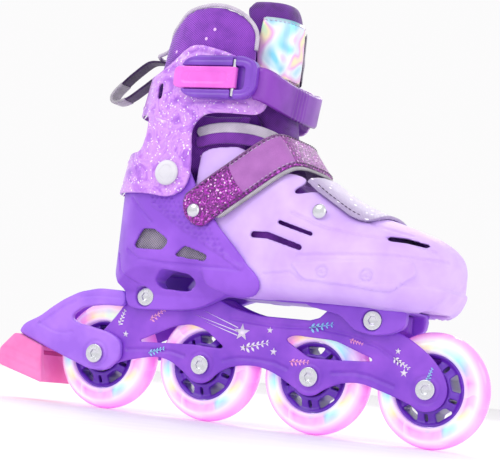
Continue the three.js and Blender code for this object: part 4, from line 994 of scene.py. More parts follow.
class SKATE_OT_heel_shell(bpy.types.Operator):
    """The heel shell with its lugs, vents and moulded ridges"""

    bl_idname = "skate.heel_shell"
    bl_label = "Heel shell"

    def execute(self, context):
        side = rounded([
            (-81, 66.2), (-90, 66.6), (-93.6, 71), (-94.4, 78.2), (-104.5, 87), (-109, 95), (-111, 105),
            (-110.4, 122), (-107.5, 134), (-105, 146), (-98, 150), (-84, 160), (-62, 163), (-50, 158),
            (-40, 140), (-30, 128.5), (-25, 122), (-10, 108), (0, 98), (5, 91), (8, 85.2), (-8, 84.4),
            (-21, 79.5), (-30, 75.2), (-40, 70.3), (-51, 68)], 5)
        half = [(21, 60), (21, 76), (29, 84.5), (35.5, 92.5), (38.4, 100), (41.5, 112), (41.5, 170)]
        front = half + [(-y, z) for y, z in reversed(half)]
        shell = prism(plan_outline(HEEL_PLAN, 0), 60, 170, "z")
        combine(shell, "INTERSECT", prism(side, -60, 60), prism(front, -130, 60, "x"))
        lug = rounded([(34, 80.8), (33, 78), (56, 74), (66, 65.5), (78, 63.5), (90, 65.5), (98, 70),
                       (98, 80.8)], 4)
        combine(shell, "UNION", block(-30, 98, -21, 21, 78.9, 80.8), prism(lug, 14.8, 21),
                prism(lug, -21, -14.8))
        hollow = prism(plan_outline(HEEL_PLAN, 2.6), 60, 200, "z")
        combine(hollow, "INTERSECT", prism(
            [(-130, 97.6), (-38, 97.6), (-14, 80.9), (60, 80.9), (60, 200), (-130, 200)], -60, 60))
        under = prism([(-120, 60), (-120, 91), (-38, 91), (-24, 79.5), (20, 78.9), (20, 60)], -14.8, 14.8)
        combine(shell, "DIFFERENCE", hollow, under)
        skirt = foot_loft(-1.9)
        combine(skirt, "DIFFERENCE", foot_loft(-0.3))
        front = rounded([(-36, 104), (-14, 110), (-4, 101), (6, 93), (9.5, 87), (7, 82), (0, 79), (-14, 79),
                         (-30, 84)], 4)
        combine(skirt, "INTERSECT", prism(front, -60, 60))
        combine(shell, "UNION", block(10, 97.5, -15.8, 15.8, 78.9, 80.8), skirt)
        tunnel = rounded([(-69.5, 85), (-62, 92.5), (-42, 90), (-39, 85), (-46, 80), (-66, 80.2)], 3)
        combine(shell, "DIFFERENCE", prism(tunnel, -60, 60), prism(rounded(REAR_VENT, 3), -60, 60),
                prism(rounded(SIDE_VENT, 2), -60, 60),
                *(cross_hole(spot, 6.5, low, high) for spot in (REAR_MOUNT, FRONT_MOUNT)
                  for low, high in ((-30, -17.8), (17.8, 30))),
                cross_hole(ANKLE, 3.4, -60, 60), cross_hole(INSTEP_RIVET, 2.4, -60, 60),
                cross_hole((-14, 96), 5.4, 30, 60))
        mould(shell, "heel_shell_moulded", skin(), 3)
        above = [(-80, 140), (-65, 127.5), (-45, 115.5), (-30, 108), (-16, 101.5), (-22, 112), (-30, 121),
                 (-45, 132), (-60, 138)]
        dimples = [(arc((x, z), 1.1, 0, 360, 8), -0.8) for x, z in self.hexagons(above)]
        relief(shell, lines=[(HEEL_RIDGE, 2.6, 1.2),
                             ([(-91, 136), (-84, 130), (-72, 121)], 1.8, -0.9),
                             ([(-90, 103), (-80, 97.5), (-60, 95.5), (-30, 95.5), (-6, 95)], 1.8, -0.9),
                             ([(-100, 100), (-96, 90), (-88, 84), (-80, 80)], 1.8, -0.9),
                             (rounded([*REAR_VENT, REAR_VENT[0]], 3), 2.4, 0.5),
                             (rounded([*SIDE_VENT, SIDE_VENT[0]], 2), 2.0, 0.4)], edge=0.8)
        relief(shell, panels=dimples, edge=0.5)
        place(shell, "base", "heel", "heel_plastic", "heel_shell")
        return {"FINISHED"}

    def hexagons(self, polygon):
        """Centres of a hexagonal grid, 3.6 mm apart, inside the polygon."""
        found = []
        for row, z in enumerate(np.arange(100, 142, 3.1)):
            for x in np.arange(-84, -14, 3.6) + (row % 2) * 1.8:
                found.append((x, z))
        return [p for p, hit in zip(found, inside(np.array(found), polygon)) if hit]


class SKATE_OT_toe_shell(bpy.types.Operator):
    """The sliding toe shell with its vents, side panels and toe bumper"""

    bl_idname = "skate.toe_shell"
    bl_label = "Toe shell"

    def execute(self, context):
        side = rounded([
            (-8, 79), (20, 79), (60, 78.8), (106, 78.6), (113, 84), (118, 91), (124, 104), (124, 116),
            (106, 135), (66, 142), (56, 142), (50, 139.5), (42, 147), (35, 147), (25, 143.5), (22.5, 146),
            (28, 151), (27, 155), (20, 157), (0, 157.2), (-5, 162), (-12, 168.4), (-20, 172.5), (-35, 171),
            (-44, 168), (-46, 130), (-46, 99), (-34, 99), (-8, 82)], 4)
        tip = (*TOE_SECTIONS, (122.4, 2.5, 7.2, 99.5, 105.5, 2.2))
        shell = foot_loft(0, tip)
        combine(shell, "INTERSECT", prism(side, -60, 60))
        hollow = foot_loft(2.4)
        combine(hollow, "INTERSECT", prism(
            [(-60, 83.5), (107.5, 83.5), (114.5, 93), (120.5, 105), (120.5, 220), (-60, 220)], -60, 60))
        throat = rounded([(-70, -26), (62, -26), (69, -16), (69, 17), (62, 27), (-70, 27)], 5)
        slots = (rounded([(-2, 119.5), (10, 119.5), (36.5, 112), (36, 109), (10, 115.6), (-2, 115.8)], 1.6),
                 rounded([(16, 127.5), (43, 120), (43, 117.8), (17, 124.8)], 1.2),
                 rounded([(84, 121.8), (96, 121.9), (108, 119.6), (108, 117.4), (98, 118.8), (88, 119)], 0.9))
        combine(shell, "DIFFERENCE", hollow, block(-60, -40, -32.4, 32.4, 70, 220),
                block(-12, 120, -21.5, 21.5, 70, 81.1), prism(throat, 120, 220, "z"),
                *(prism(slot, -60, 60) for slot in slots), cross_hole(TOE_RIVET, 2.3, -60, 60))
        mould(shell, "toe_shell_moulded", skin(), 4)
        panel = rounded([(30, 101), (50, 103.5), (70, 105.5), (90, 107.5), (104, 108), (106, 100), (96, 92),
                         (93, 89.8), (70, 90.5), (40, 92)], 3)
        crosses = []
        for x, z in ((52, 97), (79.5, 97)):
            crosses += [(arc((x, z), 3.4, 0, 360, 32), 1.1, -0.9), ([(x - 2, z), (x + 2, z)], 1.0, -0.8),
                        ([(x, z - 2), (x, z + 2)], 1.0, -0.8)]
        relief(shell, panels=[(panel, 1.3)], edge=0.7)
        relief(shell, lines=crosses, edge=0.6)
        relief(shell, lines=[([(10, 93.5), (30, 95.5), (38, 91)], 1.6, -0.8),
                             ([(26, 132), (50, 124), (75, 121), (92, 121), (112, 116)], 1.5, -0.8),
                             ([(34, 106), (60, 108), (90, 110), (118, 110.5)], 1.6, -0.7),
                             ([(66, 133), (78, 128), (98, 124)], 1.4, -0.6)], edge=0.7)
        self.bumper(shell)
        place(shell, "toe_section", "toe", "toe_plastic", "toe_shell")
        return {"FINISHED"}

    def bumper(self, shell):
        """A step all round the front of the toe, where the bumper stands proud of the shell above it."""
        co, normal = places_of(shell), normals_of(shell)
        x, z = co[:, 0] / MM - SHIFT, co[:, 2] / MM
        edge = 92.5 + 0.05 * (x - 80)
        low = np.clip((edge - z) / 1.0 + 0.5, 0, 1) * np.clip((x - 70) / 14, 0, 1)
        outward = normal[:, 0] * 0.6 + np.abs(normal[:, 1]) > 0.35
        co += normal * (1.4 * low * outward * MM)[:, None]
        shell.data.vertices.foreach_set("co", co.ravel())
        shell.data.update()


def dome_rivet(name, spot, side, face, radius, body, material, slot, node_name):
    profile = [(0, side * (face - 4)), (1.9, side * (face - 4)), (1.9, side * face), (radius, side * face),
               (radius * 0.97, side * (face + 0.45)), (radius * 0.8, side * (face + 1.1)),
               (radius * 0.45, side * (face + 1.7)), (0, side * (face + 1.95))]
    piece = turned(name, rounded(profile, 0.3, 3, closed=False), spot, 48)
    return place(piece, body, material, slot, node_name)


class SKATE_OT_bridge(bpy.types.Operator):
    """The flap over the throat, its stitched edge, and the toe and instep rivets"""

    bl_idname = "skate.bridge"
    bl_label = "Toe bridge"

    def execute(self, context):
        side = rounded([(27, 154), (36, 147.2), (62, 132), (72, 129.5), (78, 134), (76, 142), (52, 152),
                        (38, 162)], 4)
        flap = foot_loft(-2.4)
        combine(flap, "DIFFERENCE", foot_loft(-0.3))
        combine(flap, "INTERSECT", prism(side, -60, 60))
        place(mould(flap, "toe_bridge_cut", 0.7, 3), "toe_section", "bridge", "bridge_plastic", "toe_bridge")
        lines = []
        for outline in ([(33.5, 152.5), (45, 145), (60, 136.5), (69, 132.6)], ):
            for sign in (-1, 1):
                lines.append(self.on_flap(outline, sign))
        stitches = sewn("toe_bridge_stitching", lines, thread=0.6)
        place(stitches, "toe_section", "thread")
        for name, side_sign in (("toe_rivet_lateral", -1), ("toe_rivet_medial", 1)):
            dome_rivet(name + "_domed", TOE_RIVET, side_sign, RIVET_FACE, 4.6, "toe_section", "steel",
                       "plated_steel", name)
        for name, side_sign in (("instep_rivet_lateral", -1), ("instep_rivet_medial", 1)):
            dome_rivet(name + "_domed", INSTEP_RIVET, side_sign, RIVET_FACE, 4.4, "base", "steel",
                       "plated_steel", name)
        return {"FINISHED"}

    def on_flap(self, outline, sign):
        """A line on the flap's outer face, found on the foot's own section at each x."""
        table = np.array(TOE_SECTIONS, float)
        points, normals = [], []
        for x, z in curve(outline, 24):
            half, centre, high, roundness = (np.interp(x, table[:, 0], table[:, k]) for k in (1, 2, 4, 5))
            rise = (z - WIDEST_HEIGHT) / (high + 2.4 - WIDEST_HEIGHT)
            wide = (half + 2.4) * max(1 - rise**roundness, 0) ** (1 / roundness)
            points.append((x, centre + sign * (wide + 0.05), z))
            normals.append((0.25, sign * 0.55, 0.75))
        return points, normals


class SKATE_OT_button(bpy.types.Operator):
    """The size button on the inner side"""

    bl_idname = "skate.button"
    bl_label = "Size button"

    def execute(self, context):
        profile = rounded([(0, 38.4), (5, 38.4), (5, 41.2), (4.2, 42), (3.0, 42), (2.6, 41.6), (0, 41.6)],
                          0.4, 3, closed=False)
        place(turned("size_button_moulded", profile, (-14, 96), 48), "button", "lever", "lever_plastic",
              "size_button")
        return {"FINISHED"}


CUFF_PLAN = ((-109, 11), (-103, 24), (-92, 34), (-78, 39.6), (-60, 41.6), (-40, 41.4), (-24, 39.4), (-10, 35),
             (6, 26), (16, 12))


class SKATE_OT_cuff(bpy.types.Operator):
    """The hinged cuff and its two pivot caps"""

    bl_idname = "skate.cuff"
    bl_label = "Cuff"

    def execute(self, context):
        side = rounded([
            (-116, 139.5), (-116, 165), (-87, 166), (-84, 178), (-84, 190), (-116, 190), (-116, 215),
            (-82, 217), (-70, 223), (-60, 232), (-52, 235), (-44, 233.5), (-30, 230), (-14, 224), (-1, 219),
            (-1, 198), (-6, 191), (-31, 191.5), (-42, 190), (-49, 181), (-47, 165), (-46, 151), (-50, 141),
            (-61, 136.5), (-74, 138.5)], 5)
        cuff = prism(plan_outline(CUFF_PLAN, 0), 120, 245, "z", LEAN)
        combine(cuff, "DIFFERENCE", prism(plan_outline(CUFF_PLAN, 2.6), 110, 255, "z", LEAN))
        combine(cuff, "INTERSECT", prism(side, -60, 60))
        slot = rounded([(-79, 200), (-79, 210), (-75, 210), (-75, 200)], 1.5)
        combine(cuff, "DIFFERENCE", cross_hole(ANKLE, 4.4, -60, 60), prism(slot, -60, 60))
        mould(cuff, "cuff_moulded", skin(), 3)
        rim = [(-84, 212), (-71, 218.5), (-60, 227), (-52, 230), (-44, 229), (-30, 225.5), (-14, 219.5),
               (-6, 216)]
        side_ridge = [(-66, 175), (-63, 184), (-58, 191), (-50, 195), (-35, 196), (-14, 196)]
        window_ridge = [(-110, 160), (-90, 161), (-78, 168), (-78, 192), (-88, 196), (-110, 196)]
        relief(cuff,
               lines=[(side_ridge, 3.0, 0.8), (rim, 1.4, -0.5), (arc(ANKLE, 9.6, 0, 360, 48), 1.2, -0.4),
                            (window_ridge, 1.6, 0.5), ([(-110, 146), (-86, 146), (-74, 145)], 1.4, -0.4)])
        place(cuff, "cuff_section", "cuff", "cuff_plastic", "cuff")
        for name, sign in (("cuff_pivot_lateral", -1), ("cuff_pivot_medial", 1)):
            profile = [(0, 35.2), (3, 35.2), (3, 38.8), (4, 38.8), (4, 42.1), (8, 42.1), (8, 43.2), (6.9, 44),
                       (5.0, 44.1), (4.6, 43.7), (0, 43.9)]
            cap = turned(name + "_cap", rounded([(r, sign * y) for r, y in profile], 0.35, 3, closed=False),
                         ANKLE, 64)
            place(cap, "cuff_section", "cap", "cap_plastic", name)
        return {"FINISHED"}


# ---- buckle and straps -------------------------------------------------------------------------


class SKATE_OT_buckle(bpy.types.Operator):
    """The ratchet buckle: base, lever, pin, strap and rivet"""

    bl_idname = "skate.buckle"
    bl_label = "Buckle"

    def execute(self, context):
        oval = rounded([(-57, 203), (-57, 222), (-48, 226), (-12, 226), (-4, 221), (-4, 204), (-12, 199),
                        (-48, 199)], 6)
        bay = rounded([(-70, 204.6), (-12, 204.6), (-12, 219.4), (-70, 219.4)], 3)
        base = prism(oval, -49, -42)
        pocket = prism(bay, -52, -44.4)
        combine(base, "DIFFERENCE", pocket, prism(arc(LEVER_PIN, 1.6, 0, 345, 24), 190, 230, "z"))
        mould(base, "buckle_base_moulded", 0.6, 5)
        groove = rounded([(-53, 202.2), (-12, 202), (-7, 205), (-7, 220), (-12, 223), (-53, 222.8)], 3)
        relief(base, lines=[(groove, 1.0, -0.35)], edge=0.6)
        place(base, "cuff_section", "buckle", "buckle_plastic", "buckle_base")

        x, y = LEVER_PIN
        plan = rounded([(x, y - 2.6), (x + 1.8, y - 1.9), (x + 2.6, y), (x + 1.8, y + 1.9), (x, y + 2.5),
                        (-56, y + 2.5), (-61, y + 1), (-62, y - 1), (-58, y - 2.6)], 1.0)
        lever = prism(plan, 205, 219, "z")
        combine(lever, "INTERSECT",
                prism(rounded([(-63, 205.2), (-63, 218.8), (-10, 218.8), (-10, 205.2)], 6.6), -60, -30))
        combine(lever, "DIFFERENCE", prism(arc((x, y), 1.55, 0, 345, 24), 190, 230, "z"))
        mould(lever, "buckle_lever_moulded", 0.5, 5)
        relief(lever, panels=[(rounded([(-55, 208.4), (-55, 215.6), (-24, 215.6), (-24, 208.4)], 3), -0.5)])
        place(lever, "lever", "lever", "lever_plastic", "buckle_lever")

        low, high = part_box("buckle_pin")
        heights = (low.z / MM, low.z / MM + 0.4, high.z / MM - 0.4, high.z / MM)
        pin = tube("buckle_pin_drawn", [(x, y, z) for z in heights], 1.25, 24)
        place(pin, "cuff_section", "steel", "plated_steel", "buckle_pin")

        way = curve([(-9, -43.2, 209.8), (-3.4, -43.9, 209.4), (1.4, -40, 207.8), (4.8, -31, 205.6),
                     (6.6, -16, 204), (7, 2, 203.6), (6.6, 18, 204.2), (3.8, 31, 206.2), (-1.4, 38.8, 208.6),
                     (-10, 42.9, 210.4), (-24, 43.9, 210.6), (-44, 43.7, 210.2)], 150)
        band = strap("buckle_strap_moulded", way, (0.12, 0, 1), 20.5, 1.9, ends=3.0, ribs=(38, 56, 4.5))
        place(band, "cuff_section", "strap", "strap_plastic", "buckle_strap")
        dome_rivet("buckle_strap_rivet_domed", STRAP_RIVET, 1, 44.9, 4.2, "cuff_section",
                   "steel", "plated_steel", "buckle_strap_rivet")
        return {"FINISHED"}


class SKATE_OT_instep(bpy.types.Operator):
    """The glitter strap over the instep, with its backing, stitching and satin patch"""

    bl_idname = "skate.instep"
    bl_label = "Instep strap"

    def execute(self, context):
        tilt = math.radians(52)
        along = np.array((math.cos(tilt), 0, -math.sin(tilt)))
        normal = np.array((math.sin(tilt), 0, math.cos(tilt)))
        crest = np.array((14.5, 0, 173))
        half = [(39.7, -77), (39.7, -50), (38.6, -36), (37.8, -24), (36.6, -14), (34.6, -8), (31, -3.6),
                (22, -0.8), (0, 0)]
        arch = half + [(-y, n) for y, n in reversed(half[:-1])]
        flat = curve(arch, 220)
        way = np.array([crest + normal * n + np.array((0, y, 0)) for y, n in flat])
        width = sizes().strap_width / MM
        band = strap("instep_strap_woven", way, along, width, 1.6, ends=9)
        place(band, "base", "glitter", "glitter_strap", "instep_strap")
        tangent = np.gradient(way, axis=0)
        tangent /= np.linalg.norm(tangent, axis=1)[:, None]
        out = np.cross(tangent, along)
        out *= np.sign((out * (way - (-20, 0, 130))).sum(1))[:, None]
        backing = strap("instep_strap_backing", way[14:-14] - out[14:-14] * 0.55 + along * 3.0, along,
                        width - 1, 0.9, ends=8)
        place(backing, "base", "grey", "glitter_strap")
        span = slice(14, -14)
        rows = [(way[span] + out[span] * 0.85 + along * offset, out[span]) for offset in (-10.4, 10.4)]
        place(sewn("instep_strap_stitching", rows, sizes().stitch_step / MM, 2.2, 0.7), "base", "thread")
        patch = strap("instep_strap_patch", way[138:180] + out[138:180] * 0.95, along, 22, 0.5, ends=1.5)
        place(patch, "base", "satin", "glitter_strap")
        rows = [(way[140:178] + out[140:178] * 1.2 + along * offset, out[140:178]) for offset in (-9.6, 9.6)]
        place(sewn("instep_patch_stitching", rows, 3.0, 1.9, 0.5), "base", "thread_pale")
        return {"FINISHED"}


# ---- soft parts --------------------------------------------------------------------------------

COLLAR_PLAN = ((-104, 10), (-98, 22), (-86, 31.5), (-70, 36.4), (-50, 37.6), (-30, 36.4), (-12, 31), (4, 20))
ANKLE_PLAN = ((-104, 10), (-98, 20), (-86, 27.2), (-70, 28.8), (-52, 26.6), (-30, 25.8), (-12, 24), (4, 17))


def collar_half(x, z):
    """Half the collar's width at a point of its side view."""
    table = np.array(COLLAR_PLAN, float)
    return float(np.interp(x - LEAN * (z - ANKLE[1]), table[:, 0], table[:, 1]))


class SKATE_OT_liner(bpy.types.Operator):
    """The padded liner: foot part, collar, vent mesh, piping and bands"""

    bl_idname = "skate.liner"
    bl_label = "Liner"

    def execute(self, context):
        outside = rounded([
            (-107, 98.3), (-38.8, 98.3), (-14.6, 84.2), (112, 84.2), (112, 112), (92, 124), (68, 132),
            (52, 136.4), (38, 141), (22, 150), (4, 162), (-8, 165), (-20.5, 140.5), (-62, 151.2),
            (-107, 145)], 3)
        inner = rounded([
            (-120, 103.4), (-37, 103.4), (-13, 89.4), (100, 89.4), (103, 100), (98, 110), (80, 121),
            (50, 130), (20, 145), (2, 156), (-8, 157), (-22, 130), (-22, 170), (-120, 170)], 3)
        foot = foot_loft(0.2, LINER_SECTIONS)
        combine(foot, "INTERSECT", prism(outside, -60, 60))
        room = foot_loft(5.5, LINER_SECTIONS)
        combine(room, "INTERSECT", prism(inner, -60, 60))
        combine(foot, "DIFFERENCE", room)
        mould(foot, "liner_foot_padded", 1.6, 6)
        place(foot, "base", "liner", "liner_cloth", "liner_sole", "liner_heel", "liner_vamp")

        side = rounded([
            (-62, 152.6), (-20, 153.6), (-18, 182), (-12, 220), (-13, 244), (-22, 254), (-37, 260.5),
            (-52, 261), (-66, 258), (-78, 249), (-92, 235), (-112, 232), (-112, 159.8)], 6)
        collar = self.band(ANKLE_PLAN, 140, 193)
        combine(collar, "UNION", self.band(COLLAR_PLAN, 192, 270))
        combine(collar, "INTERSECT", prism(side, -60, 60))
        mould(collar, "liner_collar_padded", 2.4, 8)
        cushion(collar, 0.9)
        place(collar, "cuff_section", "liner", "liner_cloth", "liner_collar")

        mesh = prism(plan_outline(HEEL_PLAN, 2.9), 85, 170, "z")
        combine(mesh, "DIFFERENCE", prism(plan_outline(HEEL_PLAN, 3.6), 80, 175, "z"))
        windows = prism(rounded([(-89, 101), (-80, 120), (-66, 120), (-46, 111.5), (-26, 105), (-26, 99.2),
                                 (-60, 99.2)], 3), -60, 60)
        combine(mesh, "INTERSECT", windows)
        place(mould(mesh, "liner_vent_mesh", 0.6, 2), "base", "mesh", "liner_cloth")

        way = [(-50, -30.6, 180), (-38, -31, 183), (-24, -30.6, 184), (-10, -29, 183), (2, -25, 179.4),
               (10, -19, 174.4)]
        bands = (("liner_band_silver", 0, 6.6, "silver"), ("liner_band_woven", 6.6, 7.4, "band"))
        for name, drop_by, width, material in bands:
            for sign, hand in ((1, "lateral"), (-1, "medial")):
                path = curve([(x, y * sign, z - drop_by) for x, y, z in way], 60)
                place(strap(f"{name}_{hand}", path, (0, 0, 1), width, 1.4, ends=2), "base", material,
                      "liner_cloth")

        top = curve([(-13, 232), (-13.5, 243.5), (-22, 253.6), (-37, 260), (-52, 260.4), (-66, 257.2),
                     (-78, 248), (-90, 236.5), (-98.5, 232.5)], 90)
        edge = [(x, -(collar_half(x, z) - 0.9), z + 0.2) for x, z in top]
        far = [(x, -y, z) for x, y, z in reversed(edge)]
        piping = tube("liner_piping_cord", curve(edge[::3] + far[::3], 260), 1.3, 10)
        place(piping, "cuff_section", "silver")
        return {"FINISHED"}

    def band(self, plan, low, high):
        wall = prism(plan_outline(plan, 0), low, high, "z", LEAN)
        return combine(wall, "DIFFERENCE", prism(plan_outline(plan, 6), low - 5, high + 5, "z", LEAN))


class SKATE_OT_tongue(bpy.types.Operator):
    """The padded tongue with its foil label and bands, from the throat to above the collar"""

    bl_idname = "skate.tongue"
    bl_label = "Tongue"

    def execute(self, context):
        rows = np.array([  # height, front x, half width, how far the sides sweep back
            (150, 21, 13, 4), (158, 13, 15, 6), (168, 7, 17, 9), (180, 3.5, 18.5, 13), (195, 1, 20, 18),
            (210, -0.4, 21.5, 24), (235, -0.8, 22.4, 27), (255, -1.6, 22.4, 28), (264, -3.2, 20.5, 27),
            (270, -6.5, 16, 22)], float)
        heights = np.linspace(150, 269.5, 48)
        rings = []
        for z in heights:
            front, half, sweep = (np.interp(z, rows[:, 0], rows[:, k]) for k in (1, 2, 3))
            u = np.linspace(-1, 1, 25)
            outer = np.stack([front - sweep * np.abs(u) ** 2.4, half * np.sin(u * math.pi / 2 * 0.98),
                              0 * u + z], 1)
            way = np.gradient(outer, axis=0)
            away = np.cross(way, (0, 0, 1))
            away /= np.linalg.norm(away, axis=1)[:, None]
            away *= np.sign(away[12, 0])
            rings.append(list(outer) + list((outer - away * 5.2)[::-1]))
        tongue = loft(rings)
        mould(tongue, "tongue_padded", 2.2, 8)
        cushion(tongue, 1.0)
        self.channels(tongue)
        place(tongue, None, "tongue", "tongue_cloth", "tongue")
        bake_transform(tongue)
        self.label()
        return {"FINISHED"}

    def spot(self, x, y, z):
        return ((x + SHIFT) * MM, y * MM, z * MM)

    def channels(self, tongue):
        """Sewn channels across the front, 9 mm apart, where the padding pulls in."""
        co, normal = places_of(tongue), normals_of(tongue)
        z = co[:, 2] / MM
        wave = np.abs(((z - 152) / 9) % 1 - 0.5) * 2
        pull = np.clip((wave - 0.75) / 0.25, 0, 1) ** 2 * (z < 206) * (normal[:, 0] > 0.2)
        co -= normal * (pull * 0.9 * MM)[:, None]
        tongue.data.vertices.foreach_set("co", co.ravel())
        tongue.data.update()

    def label(self):
        """A foil panel sewn on the outer front of the tongue, and a mesh panel beside it."""
        def wrap(u0, u1, lift, count=30):
            u = np.linspace(u0, u1, count)
            across = (22.4 + lift) * np.sin(u * math.pi / 2 * 0.98)
            return np.stack([-0.8 + lift - 27 * np.abs(u) ** 2.4, across, np.full(count, 237.0)], 1)
        for name, u0, u1, width, material in (("tongue_label_foil", -0.86, 0.16, 40, "foil"),
                                              ("tongue_mesh_panel", 0.2, 0.84, 34, "mesh")):
            panel = strap(name, wrap(u0, u1, 1.5), (0, 0, 1), width, 0.7, ends=2.5)
            place(panel, "cuff_section", material, "tongue_cloth")
        path = wrap(-0.84, 0.14, 2.0)
        way = np.gradient(path, axis=0)
        out = np.cross(way, (0, 0, 1))
        out /= np.linalg.norm(out, axis=1)[:, None]
        rows = [(path + (0, 0, offset), out) for offset in (-18, 18)]
        place(sewn("tongue_label_stitching", rows, 3.0, 1.9, 0.5), "cuff_section", "thread_pale")
        band = wrap(-0.98, 0.98, 1.3, 44)
        band[:, 2] = 208
        place(strap("tongue_band_silver", band, (0, 0, 1), 7, 0.8, ends=1.5), "cuff_section", "silver")


class SKATE_OT_insole(bpy.types.Operator):
    """The insole and the pull loop behind the collar"""

    bl_idname = "skate.insole"
    bl_label = "Insole and pull loop"

    def execute(self, context):
        side = rounded([(-97, 103.8), (-37.2, 103.8), (-12.8, 89.8), (92, 89.8), (92, 92.8), (-12, 92.8),
                        (-36.2, 106.8), (-97, 106.8)], 1.2)
        plan = plan_outline([(-94, 8), (-86, 16), (-70, 21), (-40, 21.4), (0, 20.6), (30, 22.5),
                             (60, 25.6, 0.5), (80, 21.5, 1.5), (90, 10, 3)], 0)
        insole = prism(side, -40, 40)
        combine(insole, "INTERSECT", prism(plan, 80, 110, "z"))
        mould(insole, "insole_brushed", 0.9, 3)
        place(insole, "base", "insole", "insole_foam", "insole")

        way = curve([(-93.5, 230.2), (-99, 230.8), (-106, 230.4), (-116, 223.6), (-125, 215.6), (-132, 207.4),
                     (-131.4, 203.8), (-128, 203.0), (-120.5, 205.6), (-109, 213.6), (-98.5, 221.4),
                     (-94, 224.2)], 110)
        way = np.stack([way[:, 0], 0 * way[:, 0], way[:, 1]], axis=1)
        loop = strap("pull_loop_webbing", way, (0, 1, 0), 12, 1.5)
        place(loop, "cuff_section", "loop", "tongue_cloth", "pull_loop")
        end = strap("pull_loop_tip", way[42:72], (0, 1, 0), 12.6, 2.3)
        place(end, "cuff_section", "grey", "tongue_cloth")
        return {"FINISHED"}


# ---- printed marks -----------------------------------------------------------------------------


class SKATE_OT_prints(bpy.types.Operator):
    """Stars and leaf sprigs printed on the frame"""

    bl_idname = "skate.prints"
    bl_label = "Printed stars and sprigs"

    def execute(self, context):
        marks = {"white": [], "pink": [], "blue": []}
        for x, z, size in ((-11, 58, 5.5), (-9, 48.5, 2.4), (8, 61, 2.2), (12, 48, 2.6), (98, 43.5, 2.6),
                           (-94, 49.5, 2.2), (93, 56, 2.0)):
            marks["white"].append(self.star(x, z, size))
        for k, (rise, length) in enumerate(((0, 30), (2.4, 24), (-2.4, 22))):
            marks["white"].append([(-14, 58.6 + rise), (-16 - length, 66.4 + rise * 1.4 - 0.2 * k),
                                   (-14, 57.9 + rise)])
        spots = (
            (-72, 64, 13, 25, "pink"), (-70, 41, 12, 8, "blue"), (30, 43.5, 13, -8, "pink"),
            (42, 66.5, 16, 0, "blue"), (0, 51, 17, 4, "white"), (114, 44, 9, 60, "blue"),
            (-98, 60, 11, 60, "white"), (96, 49, 12, -40, "white"), (66, 59, 9, -25, "pink"),
        )
        for x, z, size, turn, colour in spots:
            marks[colour] += self.sprig(x, z, size, turn)
        for colour, outlines in marks.items():
            points, faces = [], []
            for outline in outlines:
                for low, high in ((-14.72, -14.45), (14.45, 14.72)):
                    more, sides = prism_parts(outline, low, high)
                    faces += [tuple(len(points) + i for i in f) for f in sides]
                    points += more
            place(build(f"frame_print_{colour}", points, faces), "base", f"ink_{colour}")
        return {"FINISHED"}

    def star(self, x, z, size):
        return [(x + (size if k % 2 == 0 else size * 0.42) * math.sin(math.pi * k / 5),
                 z + (size if k % 2 == 0 else size * 0.42) * math.cos(math.pi * k / 5)) for k in range(10)]

    def sprig(self, x, z, size, turn):
        """A curved stem with pairs of pointed leaves."""
        a = math.radians(turn)
        shapes = [[(t, 0.1 * size * math.sin(t / size * math.pi) + s) for t, s in
                   [(-size / 2, 0.25), (0, 0.35), (size / 2, 0.1), (size / 2, -0.1), (0, -0.35),
                    (-size / 2, -0.25)]]]
        for k in range(5):
            t = -size * 0.42 + size * 0.2 * k
            base = 0.1 * size * math.sin(t / size * math.pi)
            for sign in (-1, 1):
                length = size * (0.24 - 0.025 * k)
                tilt = sign * math.radians(52)
                leaf = [(0, 0), (0.4, 0.2), (0.75, 0.16), (1, 0), (0.75, -0.16), (0.4, -0.2)]
                shapes.append([(t + length * (u * math.cos(tilt) - v * math.sin(tilt)),
                                base + length * (u * math.sin(tilt) + v * math.cos(tilt))) for u, v in leaf])
        return [[(x + u * math.cos(a) - v * math.sin(a), z + u * math.sin(a) + v * math.cos(a))
                 for u, v in shape] for shape in shapes]


# ---- stage -------------------------------------------------------------------------------------


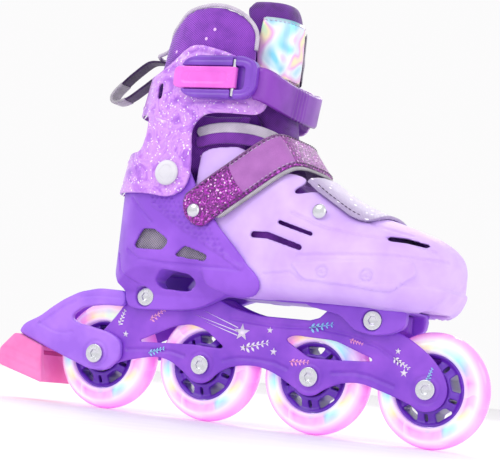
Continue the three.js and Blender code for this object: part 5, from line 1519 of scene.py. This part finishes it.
class SKATE_OT_stage(bpy.types.Operator):
    """The pale floor, the studio lights and the camera"""

    bl_idname = "skate.stage"
    bl_label = "Stage"

    def execute(self, context):
        scene = context.scene
        world = bpy.data.worlds.new("studio")
        world.use_nodes = True
        backdrop = world.node_tree.nodes["Background"]
        backdrop.inputs["Color"].default_value = (1.0, 0.995, 1.0, 1)
        backdrop.inputs["Strength"].default_value = 0.97
        scene.world = world
        scene.view_settings.view_transform = "Standard"

        outline = arc((-19.0, 0.0), 6000, 0, 355, 72)
        floor = prism(outline, -30, 0, "z")
        floor.name = "studio_floor"
        floor.data.materials.append(MATERIALS["floor"])

        lamps = (
            ("key", (-0.55, -1.3, 1.25), 1.1, 7), ("fill", (1.2, -1.1, 0.6), 1.2, 2.5),
            ("rim", (-0.4, 1.2, 1.1), 1.0, 6), ("front", (1.5, 0.5, 0.9), 0.9, 2.5),
        )
        for name, where, size, energy in lamps:
            data = bpy.data.lights.new(name, "AREA")
            data.shape = "DISK"
            data.size = size
            data.energy = energy
            lamp = bpy.data.objects.new(name, data)
            lamp.location = where
            lamp.rotation_euler = (Vector((0, 0, 0.12)) - Vector(where)).to_track_quat("-Z", "Y").to_euler()
            scene.collection.objects.link(lamp)

        eye = Vector((0.4409, -0.8944, 0.0329))
        aim = Vector((-0.0012, 0, 0.1202))
        forward = (aim - eye).normalized()
        right = forward.cross(Vector((0, 0, 1))).normalized()
        up = right.cross(forward)
        roll = math.radians(6.4)
        level = right * math.cos(roll) + up * math.sin(roll)
        rise = -right * math.sin(roll) + up * math.cos(roll)
        data = bpy.data.cameras.new("view")
        data.sensor_width = 36
        data.lens = 113.2
        camera = bpy.data.objects.new("view", data)
        camera.matrix_world = Matrix((level, rise, -forward)).transposed().to_4x4()
        camera.location = eye
        scene.collection.objects.link(camera)
        scene.camera = camera
        return {"FINISHED"}


class SKATE_PT_panel(bpy.types.Panel):
    """The steps that build the skate, in order"""

    bl_idname = "SKATE_PT_panel"
    bl_label = "Inline skate"
    bl_space_type = "VIEW_3D"
    bl_region_type = "UI"
    bl_category = "Skate"

    def draw(self, context):
        for step in STEPS:
            self.layout.operator(step.bl_idname)
        for group in (context.scene.skate_sizes, context.scene.skate_colours):
            for name in group.bl_rna.properties.keys():
                if name not in ("rna_type", "name"):
                    self.layout.prop(group, name)


STEPS = (SKATE_OT_wheels, SKATE_OT_bolts, SKATE_OT_chassis, SKATE_OT_brake, SKATE_OT_heel_shell,
         SKATE_OT_toe_shell, SKATE_OT_bridge, SKATE_OT_button, SKATE_OT_cuff, SKATE_OT_buckle,
         SKATE_OT_instep, SKATE_OT_liner, SKATE_OT_tongue, SKATE_OT_insole, SKATE_OT_prints, SKATE_OT_stage)
CLASSES = (SkateSizes, SkateColours, *STEPS, SKATE_PT_panel)


def register():
    for kind in CLASSES:
        bpy.utils.register_class(kind)
    bpy.types.Scene.skate_sizes = bpy.props.PointerProperty(type=SkateSizes)
    bpy.types.Scene.skate_colours = bpy.props.PointerProperty(type=SkateColours)


def unregister():
    del bpy.types.Scene.skate_colours
    del bpy.types.Scene.skate_sizes
    for kind in reversed(CLASSES):
        bpy.utils.unregister_class(kind)


def main():
    register()
    MATERIALS.update(make_materials(bpy.context.scene.skate_colours))
    for step in STEPS:
        group, name = step.bl_idname.split(".")
        getattr(getattr(bpy.ops, group), name)()


if __name__ == "__main__":
    main()
